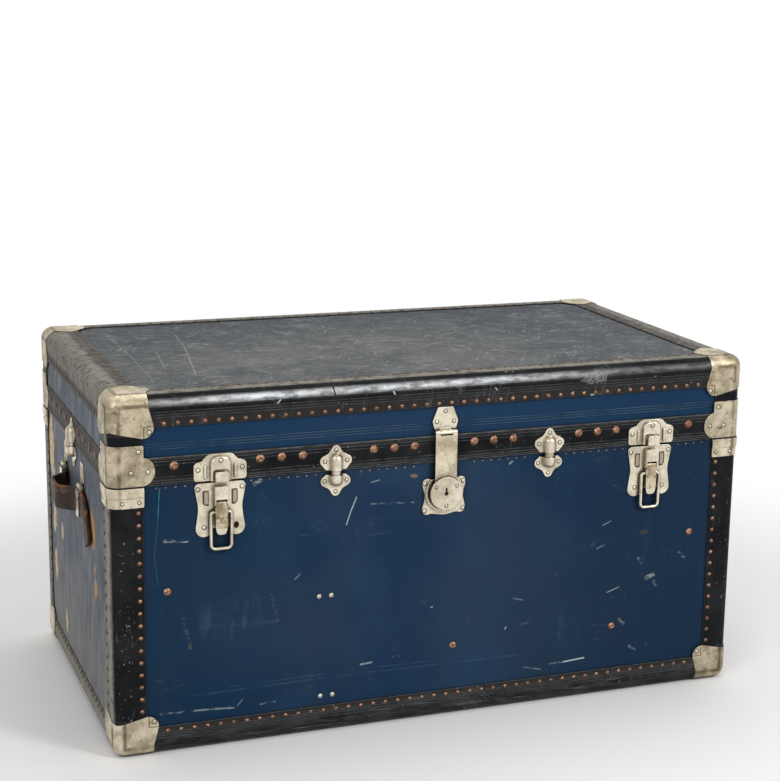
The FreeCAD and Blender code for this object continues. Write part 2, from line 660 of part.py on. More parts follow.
def hasp():
    """Hinge plate, pin, strap, lock case, lock face and bolt of the hasp lock."""
    axis = HASP_AXIS_RISE
    out = HASP_AXIS_OUT
    crown = out + HASP_KNUCKLE
    centre = HASP_CENTRE_HALF
    half = HASP_HALF_WIDTH
    top = LID_HEIGHT - TOP_DROP - RELIEF
    leaf_foot = axis + HASP_KNUCKLE + 2 * RELIEF
    leaf_height = top - leaf_foot
    back = out - HASP_KNUCKLE
    leaf = prism(mirrored_outline([(HASP_LEAF_TOP_HALF, top, CORNER),
                                   (HASP_LEAF_HALF, leaf_foot + 0.35 * leaf_height, 0.2 * leaf_height),
                                   (half, leaf_foot, CORNER)]), -BINDING, HASP_LEAF - BINDING)
    web = local_box(-centre, centre, axis, leaf_foot + CORNER, back, back + HASP_WEB)
    knuckle = rod((-centre, axis, out), (centre, axis, out), HASP_KNUCKLE)
    drill = rod((-MARGIN, axis, out), (MARGIN, axis, out), HASP_PIN + RUNNING)
    hinge_plate = single(fused(leaf, web, knuckle).cut(drill))
    pin = rod((-half, axis, out), (half, axis, out), HASP_PIN)

    room = centre + SIDE_PLAY
    strap = local_box(-half, half, -LOCK_DROP, axis, crown - HASP_METAL, crown)
    strap = strap.fuse([rod((side * room, axis, out), (side * half, axis, out), HASP_KNUCKLE)
                        for side in (-1, 1)])
    notch = local_box(-room, room, axis - HASP_KNUCKLE - RELIEF, axis + MARGIN, -MARGIN, MARGIN)
    case_room = rod((0, -LOCK_DROP, -MARGIN), (0, -LOCK_DROP, MARGIN), LOCK_CASE_RADIUS + RUNNING)
    strap = single(strap.removeSplitter().cut(notch).cut(drill).cut(case_room))
    strap = max(strap.Solids, key=lambda solid: solid.Volume)

    ceiling = LOCK_TOP - LOCK_WALL
    cup = rod((0, -LOCK_DROP, LOCK_BACK), (0, -LOCK_DROP, LOCK_TOP), LOCK_CASE_RADIUS)
    hollow = rod((0, -LOCK_DROP, 0), (0, -LOCK_DROP, ceiling), LOCK_CASE_RADIUS - LOCK_WALL)
    staple_room = STAPLE_HALF_WIDTH + STAPLE_PLAY
    rail_end = -staple_room - BOLT_PLAY
    bolt_end = rail_end - BOLT_SHY
    bolt_start = bolt_end - BOLT_LENGTH
    rails = []
    for side in (-1, 1):
        near = -STAPLE_DROP + side * (BOLT_WIDTH / 2 + BOLT_PLAY)
        w0, w1 = sorted((near, near + side * BOLT_RAIL))
        rails.append(local_box(bolt_start, rail_end, w0, w1, LOCK_BACK, ceiling))
    staple_way = local_box(-staple_room, staple_room, -LOCK_DROP - HEIGHT, -STAPLE_DROP, 0, ceiling)
    lock_case = single(fused(cup.cut(hollow), *rails).cut(keyhole()).cut(staple_way))
    face = rod((0, -LOCK_DROP, LOCK_TOP), (0, -LOCK_DROP, LOCK_TOP + LOCK_FACE), LOCK_FACE_RADIUS)
    rim = [edge for edge in face.Edges if edge.BoundBox.YMax < RUNNING - LOCK_TOP - LOCK_FACE]
    lock_face = single(face.makeFillet(0.7 * LOCK_FACE, rim).cut(keyhole()))
    bolt = local_box(bolt_start, bolt_end, -STAPLE_DROP - BOLT_WIDTH / 2,
                     -STAPLE_DROP + BOLT_WIDTH / 2, BOLT_OUT, BOLT_OUT + BOLT_METAL)
    return {"hasp_hinge_plate": hinge_plate, "hasp_pin": pin, "hasp_strap": strap,
            "lock_case": lock_case, "lock_face": lock_face, "lock_bolt": bolt}


def ridge(u, start, end, radius, out, seat):
    """A half-round ridge with ball ends between two heights, standing on a wall at n = seat."""
    bar = rod((u, start + radius, out), (u, end - radius, out), radius)
    balls = [Part.makeSphere(radius, V(u, -out, w)) for w in (start + radius, end - radius)]
    room = local_box(u - MARGIN, u + MARGIN, start - MARGIN, end + MARGIN, seat, MARGIN)
    return fused(bar, *balls).common(room)


def dowel_plate(direction, foot):
    """Three-lobed outline of a dowel plate that runs up (1) or down (-1) from the parting."""
    half = [(0, DOWEL_APEX, DOWEL_TIP_RADIUS), (DOWEL_WAIST_HALF, DOWEL_WAIST, DOWEL_WAIST_RADIUS),
            (DOWEL_LOBE_U, DOWEL_LOBE_W, DOWEL_LOBE_RADIUS), (DOWEL_FOOT_HALF, foot, CORNER)]
    return [(u, direction * w, r) for u, w, r in mirrored_outline(half)]


def dowel_parts():
    """Dowel base with its half-round tongue for the case, and the hooded socket for the lid."""
    bore = DOWEL_PEG + DOWEL_PLAY
    outside = bore + DOWEL_WALL
    out = DOWEL_AXIS_OUT
    seat = PLATE - BINDING
    seam = DOWEL_BASE_SEAM
    below = local_box(-MARGIN, MARGIN, -HEIGHT, -seam, -MARGIN, MARGIN)
    hood = ridge(0, -DOWEL_BASE_CREST, MARGIN, outside, out, seat - SUNK).common(below)
    tongue = ridge(0, -DOWEL_BASE_CREST, DOWEL_PEG_RISE, DOWEL_PEG, out, RELIEF)
    base = fused(prism(dowel_plate(-1, seam), -BINDING, seat), hood, tongue)

    mouth = DOWEL_SOCKET_SEAM
    crest = DOWEL_SOCKET_CREST
    above = local_box(-MARGIN, MARGIN, mouth, HEIGHT, -MARGIN, MARGIN)
    hood = ridge(0, -MARGIN, crest, outside, out, 0).common(above)
    cover = fused(prism(dowel_plate(1, mouth), 0, PLATE), hood)
    socket = cover.cut(ridge(0, -MARGIN, crest - DOWEL_WALL, bore, out, -MARGIN))
    return single(base), single(socket)


def handle():
    """Left handle: two plates, two swinging metal loops and a bowed leather strap."""
    out = HANDLE_AXIS_OUT
    inner = HANDLE_CENTRE_HALF
    half = HANDLE_PLATE_HALF
    back_of_pin = out - HANDLE_KNUCKLE
    outline = mirrored_outline([(half - 1.5 * CORNER, HANDLE_PLATE_RISE, 3 * CORNER),
                                (half, HANDLE_KNUCKLE + CORNER, 2.5 * CORNER)])
    plate = prism(outline, -BINDING, PLATE - BINDING)
    web = local_box(-inner, inner, 0, HANDLE_KNUCKLE + 2.5 * CORNER, back_of_pin, back_of_pin + HANDLE_WEB)
    knuckle = rod((-inner, 0, out), (inner, 0, out), HANDLE_KNUCKLE)
    drill = rod((-half, 0, out), (half, 0, out), HANDLE_PIN + RUNNING)
    plate = single(fused(plate, web, knuckle).cut(drill))

    loop_half = HANDLE_LOOP_HALF
    metal = HANDLE_LOOP_METAL
    loop_top = -HANDLE_KNUCKLE - RELIEF
    slot_top = loop_top - metal
    slot_foot = slot_top - STRAP_WIDTH - 2 * STRAP_PLAY
    back = out - STRAP_THICKNESS / 2
    front = back + STRAP_THICKNESS + 2 * STRAP_PLAY
    sleeve = local_box(-loop_half, loop_half, slot_foot - metal, loop_top, back - metal, front + metal)
    sleeve = sleeve.cut(local_box(-MARGIN, MARGIN, slot_foot, slot_top, back, front))
    parts = [sleeve, rod((-loop_half, 0, out), (loop_half, 0, out), HANDLE_PIN)]
    neck = HANDLE_NECK / 2
    for side in (-1, 1):
        u0, u1 = sorted((side * (inner + SIDE_PLAY), side * loop_half))
        parts.append(rod((u0, 0, out), (u1, 0, out), HANDLE_KNUCKLE))
        parts.append(local_box(u0, u1, loop_top - metal / 2, 0, out - neck, out + neck))
    return plate, single(fused(*parts)), handle_strap(slot_top - STRAP_PLAY, back + STRAP_PLAY)


def handle_strap(top, back):
    """Leather strap: bowed out between the loops, one straight tail and one that droops."""
    thickness = STRAP_THICKNESS
    inside = HANDLE_LOOP_Y - HANDLE_LOOP_HALF - STRAP_LEAD
    tail = HANDLE_LOOP_Y + STRAP_TAIL
    knee = 0.45 * inside
    skew = thickness * math.tan(math.atan2(STRAP_BOW, inside - knee) / 2)
    foot = -back
    crown = foot - STRAP_BOW
    tight = STRAP_BEND
    wide = STRAP_BEND + thickness
    outline = [(-tail, foot, 0), (-inside, foot, wide), (-knee, crown, tight), (knee, crown, tight),
               (inside, foot, wide), (HANDLE_LOOP_Y, foot, 0), (HANDLE_LOOP_Y, foot - thickness, 0),
               (inside + skew, foot - thickness, tight), (knee + skew, crown - thickness, wide),
               (-knee - skew, crown - thickness, wide), (-inside - skew, foot - thickness, tight),
               (-tail, foot - thickness, 0)]
    ribbon = Part.Face(Part.Wire(rounded_edges(outline, lambda p: V(p.x, p.y, top)))).extrude(
        V(0, 0, -STRAP_WIDTH))
    bend = HANDLE_LOOP_Y + HANDLE_LOOP_HALF + CORNER
    lead = local_box(HANDLE_LOOP_Y, bend, top - STRAP_WIDTH, top, back, back + thickness)
    heel = STRAP_HEEL
    pivot = V(bend, -back, top - STRAP_WIDTH - heel)
    sector = Part.makeCylinder(heel + STRAP_WIDTH, thickness, pivot, V(0, -1, 0), 360)
    sector = sector.cut(Part.makeCylinder(heel, thickness, pivot, V(0, -1, 0), 360))
    turn = math.radians(STRAP_DROOP)
    reach = 4 * STRAP_WIDTH
    wedge = [V(0, 0, 0), V(0, 0, reach), V(reach * math.tan(turn / 2), 0, reach),
             V(reach * math.sin(turn), 0, reach * math.cos(turn))]
    wedge = [pivot + point for point in wedge]
    wedge = Part.Face(Part.makePolygon(wedge + wedge[:1])).extrude(V(0, -thickness, 0))
    sector = sector.common(wedge)
    end = local_box(0, STRAP_TAIL, heel, heel + STRAP_WIDTH, 0, thickness)
    end = end.rotated(V(0, 0, 0), V(0, 1, 0), STRAP_DROOP).translated(pivot)
    return single(fused(ribbon, lead, sector, end))


def hinge_parts():
    """Case leaf, lid leaf and pin of one back hinge."""
    out = HINGE_AXIS_OUT
    half = HINGE_HALF_WIDTH
    centre = HINGE_CENTRE_HALF
    taper = half - HINGE_LEAF_TAPER
    clear = HINGE_KNUCKLE + HINGE_CLEARANCE
    tongue = clear + HINGE_TONGUE
    back = out - HINGE_KNUCKLE
    front = back + HINGE_METAL
    drill = rod((-2 * half, 0, out), (2 * half, 0, out), HINGE_PIN + RUNNING)
    outline = mirrored_outline([(half, -clear, CORNER / 2), (taper, -HINGE_LEAF_DROP, HINGE_LEAF_CORNER)])
    case_leaf = [prism(outline, -BINDING, back)]
    for side in (-1, 1):
        u0, u1 = sorted((side * (centre + SIDE_PLAY), side * half))
        case_leaf.append(rod((u0, 0, out), (u1, 0, out), HINGE_KNUCKLE))
        case_leaf.append(local_box(u0, u1, -tongue, 0, back - SIDE_PLAY / 2, front - SIDE_PLAY / 2))
    outline = mirrored_outline([(taper, HINGE_LEAF_RISE, HINGE_LEAF_CORNER), (half, clear, CORNER / 2)])
    lid_leaf = fused(prism(outline, 0, HINGE_METAL), rod((-centre, 0, out), (centre, 0, out), HINGE_KNUCKLE),
                     local_box(-centre, centre, 0, tongue, back, front))
    pin = rod((-half, 0, out), (half, 0, out), HINGE_PIN)
    return single(fused(*case_leaf).cut(drill)), single(lid_leaf.cut(drill)), pin


def stay_parts():
    """Left stay: slotted bar, its pivot on the lid and its stud on the case, closed position."""
    half_opening = math.radians(LID_OPENING / 2)
    longest = PARTING + STAY_RISE - FLOOR - STAY_FLOOR_CLEARANCE - 2 * STAY_HALF_WIDTH
    shortest = 2 * STAY_RISE
    from_hinge = (longest / 2 - STAY_RISE * math.cos(half_opening)) / math.sin(half_opening)
    place_y = HALF_DEPTH + HINGE_AXIS_OUT - from_hinge
    wall = -INNER_HALF_LENGTH
    along_x = V(1, 0, 0)
    pivot = V(wall + STAY_STANDOFF, place_y, PARTING + STAY_RISE)

    def capsule(half_width, start, end):
        """A flat round-ended bar that hangs from start to end below the pivot."""
        ends = [Part.makeCylinder(half_width, STAY_METAL, pivot + V(0, 0, -drop), along_x)
                for drop in (start, end)]
        web = box((pivot.x, pivot.y - half_width, pivot.z - end),
                  (pivot.x + STAY_METAL, pivot.y + half_width, pivot.z - start))
        return fused(web, *ends)

    bar = capsule(STAY_HALF_WIDTH, 0, longest + STAY_HALF_WIDTH)
    bar = bar.cut(capsule(STAY_SHANK + STAY_PLAY, shortest - STAY_OVERRUN, longest + STAY_OVERRUN))
    bar = bar.cut(Part.makeCylinder(STAY_SHANK + RUNNING, STAY_METAL, pivot, along_x))

    def stud(height):
        neck = STAY_STANDOFF + STAY_METAL + STAY_PLAY
        collar = STAY_STANDOFF - STAY_PLAY / 2
        spot = V(wall, place_y, height)
        return fused(Part.makeCylinder(STAY_SHANK, neck, spot, along_x),
                     Part.makeCylinder(STAY_SHANK + STAY_COLLAR, collar, spot, along_x),
                     Part.makeCylinder(STAY_HEAD, STAY_HEAD_METAL, spot + along_x * neck, along_x))

    return single(bar), stud(PARTING + STAY_RISE), stud(PARTING - STAY_RISE)


def rivet(radius, height, seat):
    """A low conical rivet head on a wall."""
    return Part.makeCone(radius, 0.55 * radius, height, V(0, -seat, 0), V(0, -1, 0))


def row(obstacles, pitch):
    """Even places, a pitch apart, in the gaps between obstacles (middle, half width), centre outwards."""
    places = []
    for (middle, half), (next_middle, next_half) in zip(obstacles, obstacles[1:]):
        start = middle + half
        end = next_middle - next_half
        count = math.floor((end - start - 2 * BAND_RIVET_MARGIN) / pitch) + 1
        first = (start + end - (count - 1) * pitch) / 2
        places += [first + step * pitch for step in range(count)]
    return places


def band_rivets():
    """Large rivets along the lid's band, in the gaps between the hardware."""
    head = rivet(BAND_RIVET_RADIUS, BAND_RIVET_HEIGHT, 0)
    level = PARTING + BAND_RIVET_RISE
    clamp = (HALF_LENGTH, CLAMP_REACH)
    front = row([(0, HASP_HALF_WIDTH), (DOWEL_X, DOWEL_LOBE_U), (LATCH_X, LATCH_HALF_WIDTH), clamp],
                BAND_RIVET_PITCH)
    back = row([(0, HINGE_HALF_WIDTH), (HINGE_X, HINGE_HALF_WIDTH), clamp], BAND_RIVET_PITCH)
    ends = row([(0, DOWEL_LOBE_U), (HALF_DEPTH, CLAMP_REACH)], BAND_RIVET_PITCH_END)
    heads = []
    for side in (-1, 1):
        heads += [on_front(head, side * x, level) for x in front]
        heads += [on_back(head, side * x, level) for x in back]
        heads += [on_end(head, end, side * y, level) for y in ends for end in (-1, 1)]
    return Part.makeCompound(heads)


def panel_rivets():
    """Rivets that come through the front board."""
    outer = [(side * (HALF_LENGTH - PANEL_RIVET_INSET), z) for side, z in PANEL_RIVETS_OUTER]
    groups = ((PANEL_RIVET_RADIUS, (*outer, *PANEL_RIVETS_INNER)), (PIN_RIVET_RADIUS, PIN_RIVETS))
    return Part.makeCompound([on_front(rivet(radius, 0.35 * radius, -BINDING), x, z)
                              for radius, places in groups for x, z in places])


def build():
    """All nodes of the trunk, by name."""
    core = envelope(-BINDING)
    block = envelope(0)
    nodes = {}
    nodes.update(boards(core))
    nodes.update(bindings(block.cut(core)))
    nodes.update(corner_metal(block))

    base, lever, loop, keeper = latch_base(), latch_lever(), latch_loop(), latch_keeper()
    for name, side in LEFT_RIGHT.items():
        for part, shape in (("base", base), ("lever", lever), ("loop", loop), ("keeper", keeper)):
            nodes[f"latch_{part}_{name}"] = on_front(shape, side * LATCH_X, PARTING)

    nodes["lock_base"] = on_front(lock_base(), 0, PARTING)
    for name, shape in hasp().items():
        nodes[name] = on_front(shape, 0, PARTING)

    dowel, socket = dowel_parts()
    for name, shape in (("dowel_bases", dowel), ("dowel_sockets", socket)):
        places = [on_front(shape, side * DOWEL_X, PARTING) for side in (-1, 1)]
        places += [on_end(shape, side, 0, PARTING) for side in (-1, 1)]
        nodes[name] = Part.makeCompound(places)

    plate, ring, strap = handle()
    pair = {"handle_plates": plate, "handle_loops": ring}
    left = {name: Part.makeCompound([on_end(shape.translated(V(u, 0, 0)), -1, 0, HANDLE_HEIGHT)
                                     for u in (-HANDLE_LOOP_Y, HANDLE_LOOP_Y)])
            for name, shape in pair.items()}
    left["handle_strap"] = on_end(strap, -1, 0, HANDLE_HEIGHT)
    bar, pivot, stud = stay_parts()
    left["lid_stay"] = bar
    for name, shape in left.items():
        nodes[f"{name}_left"] = shape
        nodes[f"{name}_right"] = mirror_x(shape)
    nodes["stay_pivots"] = Part.makeCompound([pivot, mirror_x(pivot)])
    nodes["stay_studs"] = Part.makeCompound([stud, mirror_x(stud)])

    hinge = dict(zip(("hinge_case_leaves", "hinge_lid_leaves", "hinge_pins"), hinge_parts()))
    for name, shape in hinge.items():
        nodes[name] = Part.makeCompound([on_back(shape, x, PARTING) for x in (-HINGE_X, 0, HINGE_X)])
    nodes["band_rivets"] = band_rivets()
    nodes["panel_rivets"] = panel_rivets()
    return nodes


def main():
    os.makedirs("parts", exist_ok=True)
    nodes = build()
    for name, shape in nodes.items():
        shape.exportStep(f"parts/{name}.step")
    solids = sum(len(shape.Solids) for shape in nodes.values())
    print(f"{len(nodes)} nodes, {solids} solids")


main()
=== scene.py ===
import math

import bmesh
import bpy
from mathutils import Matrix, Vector


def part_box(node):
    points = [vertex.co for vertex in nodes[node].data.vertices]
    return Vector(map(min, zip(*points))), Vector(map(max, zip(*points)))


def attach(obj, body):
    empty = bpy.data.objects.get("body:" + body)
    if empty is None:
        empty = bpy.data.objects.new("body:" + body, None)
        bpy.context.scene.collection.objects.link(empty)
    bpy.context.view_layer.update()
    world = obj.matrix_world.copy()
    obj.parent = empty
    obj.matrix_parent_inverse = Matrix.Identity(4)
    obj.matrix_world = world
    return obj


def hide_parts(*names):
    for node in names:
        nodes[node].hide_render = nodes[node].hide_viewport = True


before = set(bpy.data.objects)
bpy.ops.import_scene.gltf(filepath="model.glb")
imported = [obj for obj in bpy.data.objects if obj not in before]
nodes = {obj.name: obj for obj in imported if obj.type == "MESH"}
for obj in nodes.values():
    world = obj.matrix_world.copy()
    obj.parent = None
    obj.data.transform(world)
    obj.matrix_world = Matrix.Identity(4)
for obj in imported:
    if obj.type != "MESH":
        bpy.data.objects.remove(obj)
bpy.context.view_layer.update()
scene = bpy.context.scene

MM = 0.001
# Outer block of the trunk, in metres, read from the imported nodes
corner_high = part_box("case_corner_bindings")[1]
HALF_LENGTH = corner_high.x
HALF_DEPTH = corner_high.y
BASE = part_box("bottom_bindings")[0].z
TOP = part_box("lid_binding_front")[1].z
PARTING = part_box("lid_band")[0].z
# Depth of the boards' outer and inner faces behind that block
BOARD_FACE = 1.6 * MM
INSIDE = 10.6 * MM
# Hardware on the walls, in millimetres: latches, dowels, outer hinges, handle plates, lock's drop
LATCH_X, DOWEL_X, HINGE_X = 312.5, 155, 300
HANDLE_Y, HANDLE_Z = 62, 322
LOCK_DROP = 43
# The rivet that the left latch has lost: from the latch's middle and the parting
LOST_RIVET = (21.5, -62)
# Pale floors in the latches' windows, along x, and pale pins of the front panel: x, z and half sizes
SLOT_FLOORS = (-330.7, -292.2, 294.3, 332.8)
PALE_PINS = (-167, 124.7, 16, 80)

# Levels of the ribs: from the outer edge of a binding, and on the lid's front and back
BINDING_RIBS = (22.5 * MM, 26 * MM, 29.5 * MM)
LID_LINES = (0.4172, 0.4207, 0.4242)
# Fine ridges of the band, as shares of its height
BAND_RIDGES = (0.08, 0.17, 0.27, 0.73, 0.84)

# Marks on the front panel: strength, half width, softness, then x and z of each point; millimetres
WHITE_MARKS = (
    (0.8, 0.25, 0.9, (-125, 330), (-133, 311), (-139, 293)),
    (0.25, 0.3, 1, (-291, 55), (-284, 63)), (0.3, 0.3, 1, (-211, 224), (-204, 230)),
    (0.45, 0.3, 0.8, (-104, 349), (-93, 351)), (0.5, 0.6, 0.8, (-15, 163), (-13, 163)),
    (0.28, 0.3, 0.9, (109, 162), (123, 158)), (0.5, 0.5, 0.9, (98.6, 121), (97, 118)),
    (0.5, 0.6, 1, (97, 358), (101, 361)), (0.35, 0.3, 0.9, (244, 256), (256, 261)),
    (0.45, 0.3, 0.9, (255, 155), (273, 161)), (0.85, 0.6, 0.9, (190, 57.7), (222, 60)))
RUBBED_MARKS = (
    (0.5, 0.6, 2.4, (-386, 294), (-364, 292.5)), (0.75, 1, 2.2, (-364, 292.5), (-357, 292)),
    (0.55, 1.2, 3, (-266, 361), (-258, 365)), (0.45, 0.4, 1.6, (-395, 57), (-328, 55), (-296, 53)),
    (0.45, 0.4, 1.4, (-259, 53), (-239, 54)), (0.3, 0.4, 1.4, (-104, 319), (-43, 315.5)),
    (0.55, 0.5, 1.4, (-117, 92), (-101, 93)), (0.35, 0.5, 1.6, (-70, 97), (-61, 97)),
    (0.3, 0.4, 1.4, (236, 222), (248, 227)), (0.32, 0.8, 2.4, (303, 201), (308, 194)),
    (0.5, 1.6, 3, (317, 170), (328, 174)), (0.3, 1, 2.6, (329, 164), (334, 158)),
    (0.36, 1.2, 2.6, (369, 202), (378, 196)), (0.3, 0.8, 2.4, (276, 112), (284, 105)),
    (0.35, 0.8, 2, (294, 69), (304, 63)), (0.6, 0.5, 1.2, (168, 57), (192, 57.7)),
    (0.25, 0.4, 1.2, (121, 122), (142, 126)), (0.25, 0.4, 1.4, (129, 57), (154, 51)))
FAINT_MARKS = (
    (0.4, 0.8, 3, (-340, 171), (-297, 169.5), (-235, 168)),
    (0.6, 0.3, 1.6, (-355, 77), (-161, 79.5), (122, 77)),
    (0.5, 0.3, 1.4, (-300, 83), (-120, 86), (60, 83)), (0.35, 2, 5, (184.5, 133), (182.5, 99)),
    (0.35, 0.6, 2, (-118, 274), (-74, 278)), (0.35, 0.5, 2, (-390, 89), (-366, 95)))
OLIVE_MARKS = (
    (0.7, 0.8, 2.5, (-369, 205), (-362, 182), (-354, 144)), (0.5, 0.6, 2, (-245, 212), (-234, 167)))
TEAL_MARKS = (
    (0.5, 0.2, 0.9, (-392, 365), (-395, 321)), (0.17, 0.2, 1, (-395, 321), (-400, 275), (-396, 236)))
# Nicks in the lid's front edge, likewise
EDGE_NICKS = (
    (1, 0.5, 0.8, (-230.9, 471), (-234.5, 467.2)), (1, 0.6, 0.9, (-74.6, 471.5), (-72.8, 468)),
    (1, 0.5, 0.9, (72.6, 466.5), (75, 464)))
# Spots on the front panel: x, z, their two radii and colour; millimetres
FRONT_SPOTS = (
    (-43, 352.7, 5.5, 2.8, (0.15, 0.115, 0.105)), (309.5, 239.3, 7, 3.2, (0.038, 0.046, 0.054)),
    (-315, 367.5, 26, 4.5, (0.24, 0.09, 0.035)))
# Scratches on the top: as the marks, with x and y
TOP_SCRATCHES = (
    (0.55, 0.3, 1, (-277.5, 135), (-286.4, 37), (-315.6, -144)),
    (0.33, 0.3, 0.9, (-374.9, 164), (-373.1, 4), (-378.3, -170)),
    (0.55, 0.2, 0.9, (-332.3, 20.5), (-345.6, -95)))
# Torn places of the left end: y, z and their two radii; millimetres
CREAM_TEARS = (
    (192, 313, 22, 48), (179, 209, 14, 22), (115, 204, 7, 12), (179, 131, 10, 24), (99, 70, 7, 18))
ORANGE_TEARS = ((-123, 277, 14, 26), (-130, 224, 5, 8), (-136, 196, 8, 11))

# Heads in millimetres: radius, height and the width of the ring of dirt and painted shadow round them
TACK = (2.6, 1.3, 0.7)
SMALL_TACK = (1.2, 0.7, 0.3)
RIVET_HEIGHT, RIVET_DIRT_AND_SHADOW = 1.0, 0.9
TACK_PITCH, SMALL_TACK_PITCH = 18, 12.6
# Tacks down the posts: lowest and highest, and how many
POST_TACKS = (64, 335, 17)
# Rivets at the ends of the corner caps: height on the case and on the lid, and inset
CAP_RIVETS = (48.9, 440.5, 52.5)
# Ends of the ribs from the middle: on bindings, on the lid's panels, and at the hasp
RIB_END, PANEL_RIB_END, HASP_GAP = 394, 411, 18
# Section of a rib: up the wall and out of it; millimetres
RIB_SECTION = (
    (-0.85, -0.1), (-0.65, 0.16), (-0.35, 0.3), (0, 0.35), (0.35, 0.3), (0.65, 0.16), (0.85, -0.1))

# Leather straps in millimetres: section, place, reach along the wall, bow between the loops, tail
STRAP_WIDTH, STRAP_THICK, STRAP_CURL, STRAP_CROWN = 34, 5, 1.5, 0.35
STRAP_DROP, STRAP_GAP = 9, 1
STRAP_START, STRAP_BEND = -100, 72
BOW_HALF, BOW_RUN, BOW_RISE = 50, 34, 24
BEND_RADIUS, BEND_ANGLE, TAIL = 8, 60, 37.6

# Camera fitted to the photo's corners; metres and radians
CAMERA_LENS = 81.8
CAMERA_PLACE = (-0.87488, -2.39726, 0.99436)
CAMERA_TURN = (1.34677802, -0.0126752, -0.35211214)
# Lamps: name, place, size and power; all face LAMP_TARGET
LAMPS = (("key", (-2.6, -2.6, 2.6), 2.2, 48), ("front", (1.7, -2.5, 2.2), 0.8, 44),
         ("overhead", (0.3, 0.6, 3.2), 2.4, 34))
LAMP_TARGET = Vector((0, 0, 0.25))
AMBIENT = 0.42
FLOOR_REACH = 14


class Shader:
    """A material built node by node; places are metres in the row frame."""

    def __init__(self, name, **constants):
        self.material = bpy.data.materials.new(name)
        self.material.use_nodes = True
        self.nodes = self.material.node_tree.nodes
        self.links = self.material.node_tree.links
        self.bsdf = self.nodes["Principled BSDF"]
        coordinates = self.nodes.new("ShaderNodeTexCoord")
        self.place = coordinates.outputs["Object"]
        self.facing = coordinates.outputs["Normal"]
        self.colour = (0, 0, 0)
        for socket, value in constants.items():
            self.bsdf.inputs[socket.replace("_", " ")].default_value = value

    def plug(self, socket, value):
        if isinstance(value, bpy.types.NodeSocket):
            self.links.new(value, socket)
        elif socket.type == "RGBA":
            socket.default_value = (*value, 1)
        else:
            socket.default_value = value

    def add(self, kind, inputs, output=0, **settings):
        node = self.nodes.new(kind)
        for key, value in settings.items():
            setattr(node, key, value)
        for key, value in inputs.items():
            self.plug(node.inputs[key], value)
        return node.outputs[output]

    def math(self, operation, *values, clamp=False):
        return self.add("ShaderNodeMath", dict(enumerate(values)), operation=operation, use_clamp=clamp)

    def vector(self, operation, *values, output=0):
        return self.add("ShaderNodeVectorMath", dict(enumerate(values)), output, operation=operation)

    def axes(self, vector=None):
        node = self.nodes.new("ShaderNodeSeparateXYZ")
        self.links.new(vector or self.place, node.inputs[0])
        return node.outputs

    def ramp(self, value, low, high, start=0, end=1):
        """A smooth step from start at low to end at high."""
        return self.add("ShaderNodeMapRange", {"Value": value, "From Min": low, "From Max": high,
                                               "To Min": start, "To Max": end},
                        interpolation_type="SMOOTHSTEP")

    def mix(self, factor, a, b):
        return self.add("ShaderNodeMix", {0: factor, 6: a, 7: b}, 2, data_type="RGBA")

    def plus(self, a, b):
        return self.math("ADD", a, b)

    def minus(self, a, b):
        return self.math("SUBTRACT", a, b)

    def absolute(self, value):
        return self.math("ABSOLUTE", value)

    def apart(self, a, b):
        return self.absolute(self.minus(a, b))

    def above(self, a, b):
        return self.math("GREATER_THAN", a, b)

    def below(self, a, b):
        return self.math("LESS_THAN", a, b)

    def times(self, *values):
        product = values[0]
        for value in values[1:]:
            product = self.math("MULTIPLY", product, value)
        return product

    def either(self, *values):
        largest = values[0]
        for value in values[1:]:
            largest = self.math("MAXIMUM", largest, value)
        return largest

    def lines(self, value, levels, outer, inner):
        """1 where value is within inner of a level, 0 beyond outer."""
        return self.either(*[self.ramp(self.apart(value, level), outer, inner) for level in levels])

    def noise(self, scale, detail, roughness, place=None, twist=0):
        return self.add("ShaderNodeTexNoise", {"Vector": place or self.place, "Scale": scale,
                                               "Detail": detail, "Roughness": roughness, "Distortion": twist})

    def blots(self, scale, detail, roughness, low, high, start=0, end=1):
        """Soft blots: noise taken from start at low to end at high."""
        return self.ramp(self.noise(scale, detail, roughness), low, high, start, end)

    def cells(self, scale, feature="F1"):
        return self.add("ShaderNodeTexVoronoi", {"Vector": self.place, "Scale": scale}, feature=feature)

    def stretched(self, axis, angle, lengths, offset=0):
        """Coordinates turned about an axis and drawn out by lengths, for streaks."""
        turn = [0, 0, 0]
        turn[axis] = math.radians(angle)
        return self.add("ShaderNodeMapping", {"Vector": self.place, "Location": (offset,) * 3,
                                              "Rotation": turn, "Scale": lengths}, vector_type="TEXTURE")

    def scratches(self, axis, *rows):
        """Fine broken lines on a wall that faces axis; rows of angle, scale, width, share, offset, length."""
        drawn = []
        for angle, scale, width, cover, offset, length in rows:
            lengths = [1, 1, 1]
            lengths[1 if axis == 0 else 0] = length
            field = self.noise(scale, 1, 0.5, self.stretched(axis, angle, lengths, offset))
            breaks = self.noise(scale * 0.4, 3, 0.7, self.stretched(axis, angle, (3, 3, 3), offset + 3.1))
            drawn.append(self.times(self.ramp(self.apart(field, 0.5), width, 0),
                                    self.ramp(breaks, 1 - cover, 1.05 - cover)))
        return self.either(*drawn)

    def stroke(self, points, width, softness):
        """A mark along a path of points, in metres."""
        marks = []
        for a, b in zip(points, points[1:]):
            run = Vector(b) - Vector(a)
            from_a = self.vector("SUBTRACT", self.place, a)
            along = self.math("MULTIPLY", self.vector("DOT_PRODUCT", from_a, run, output=1),
                              1 / run.length_squared, clamp=True)
            shift = self.add("ShaderNodeVectorMath", {0: run, "Scale": along}, operation="SCALE")
            gap = self.vector("SUBTRACT", from_a, shift)
            marks.append(self.ramp(self.vector("LENGTH", gap, output=1), width + softness, width))
        return self.either(*marks)

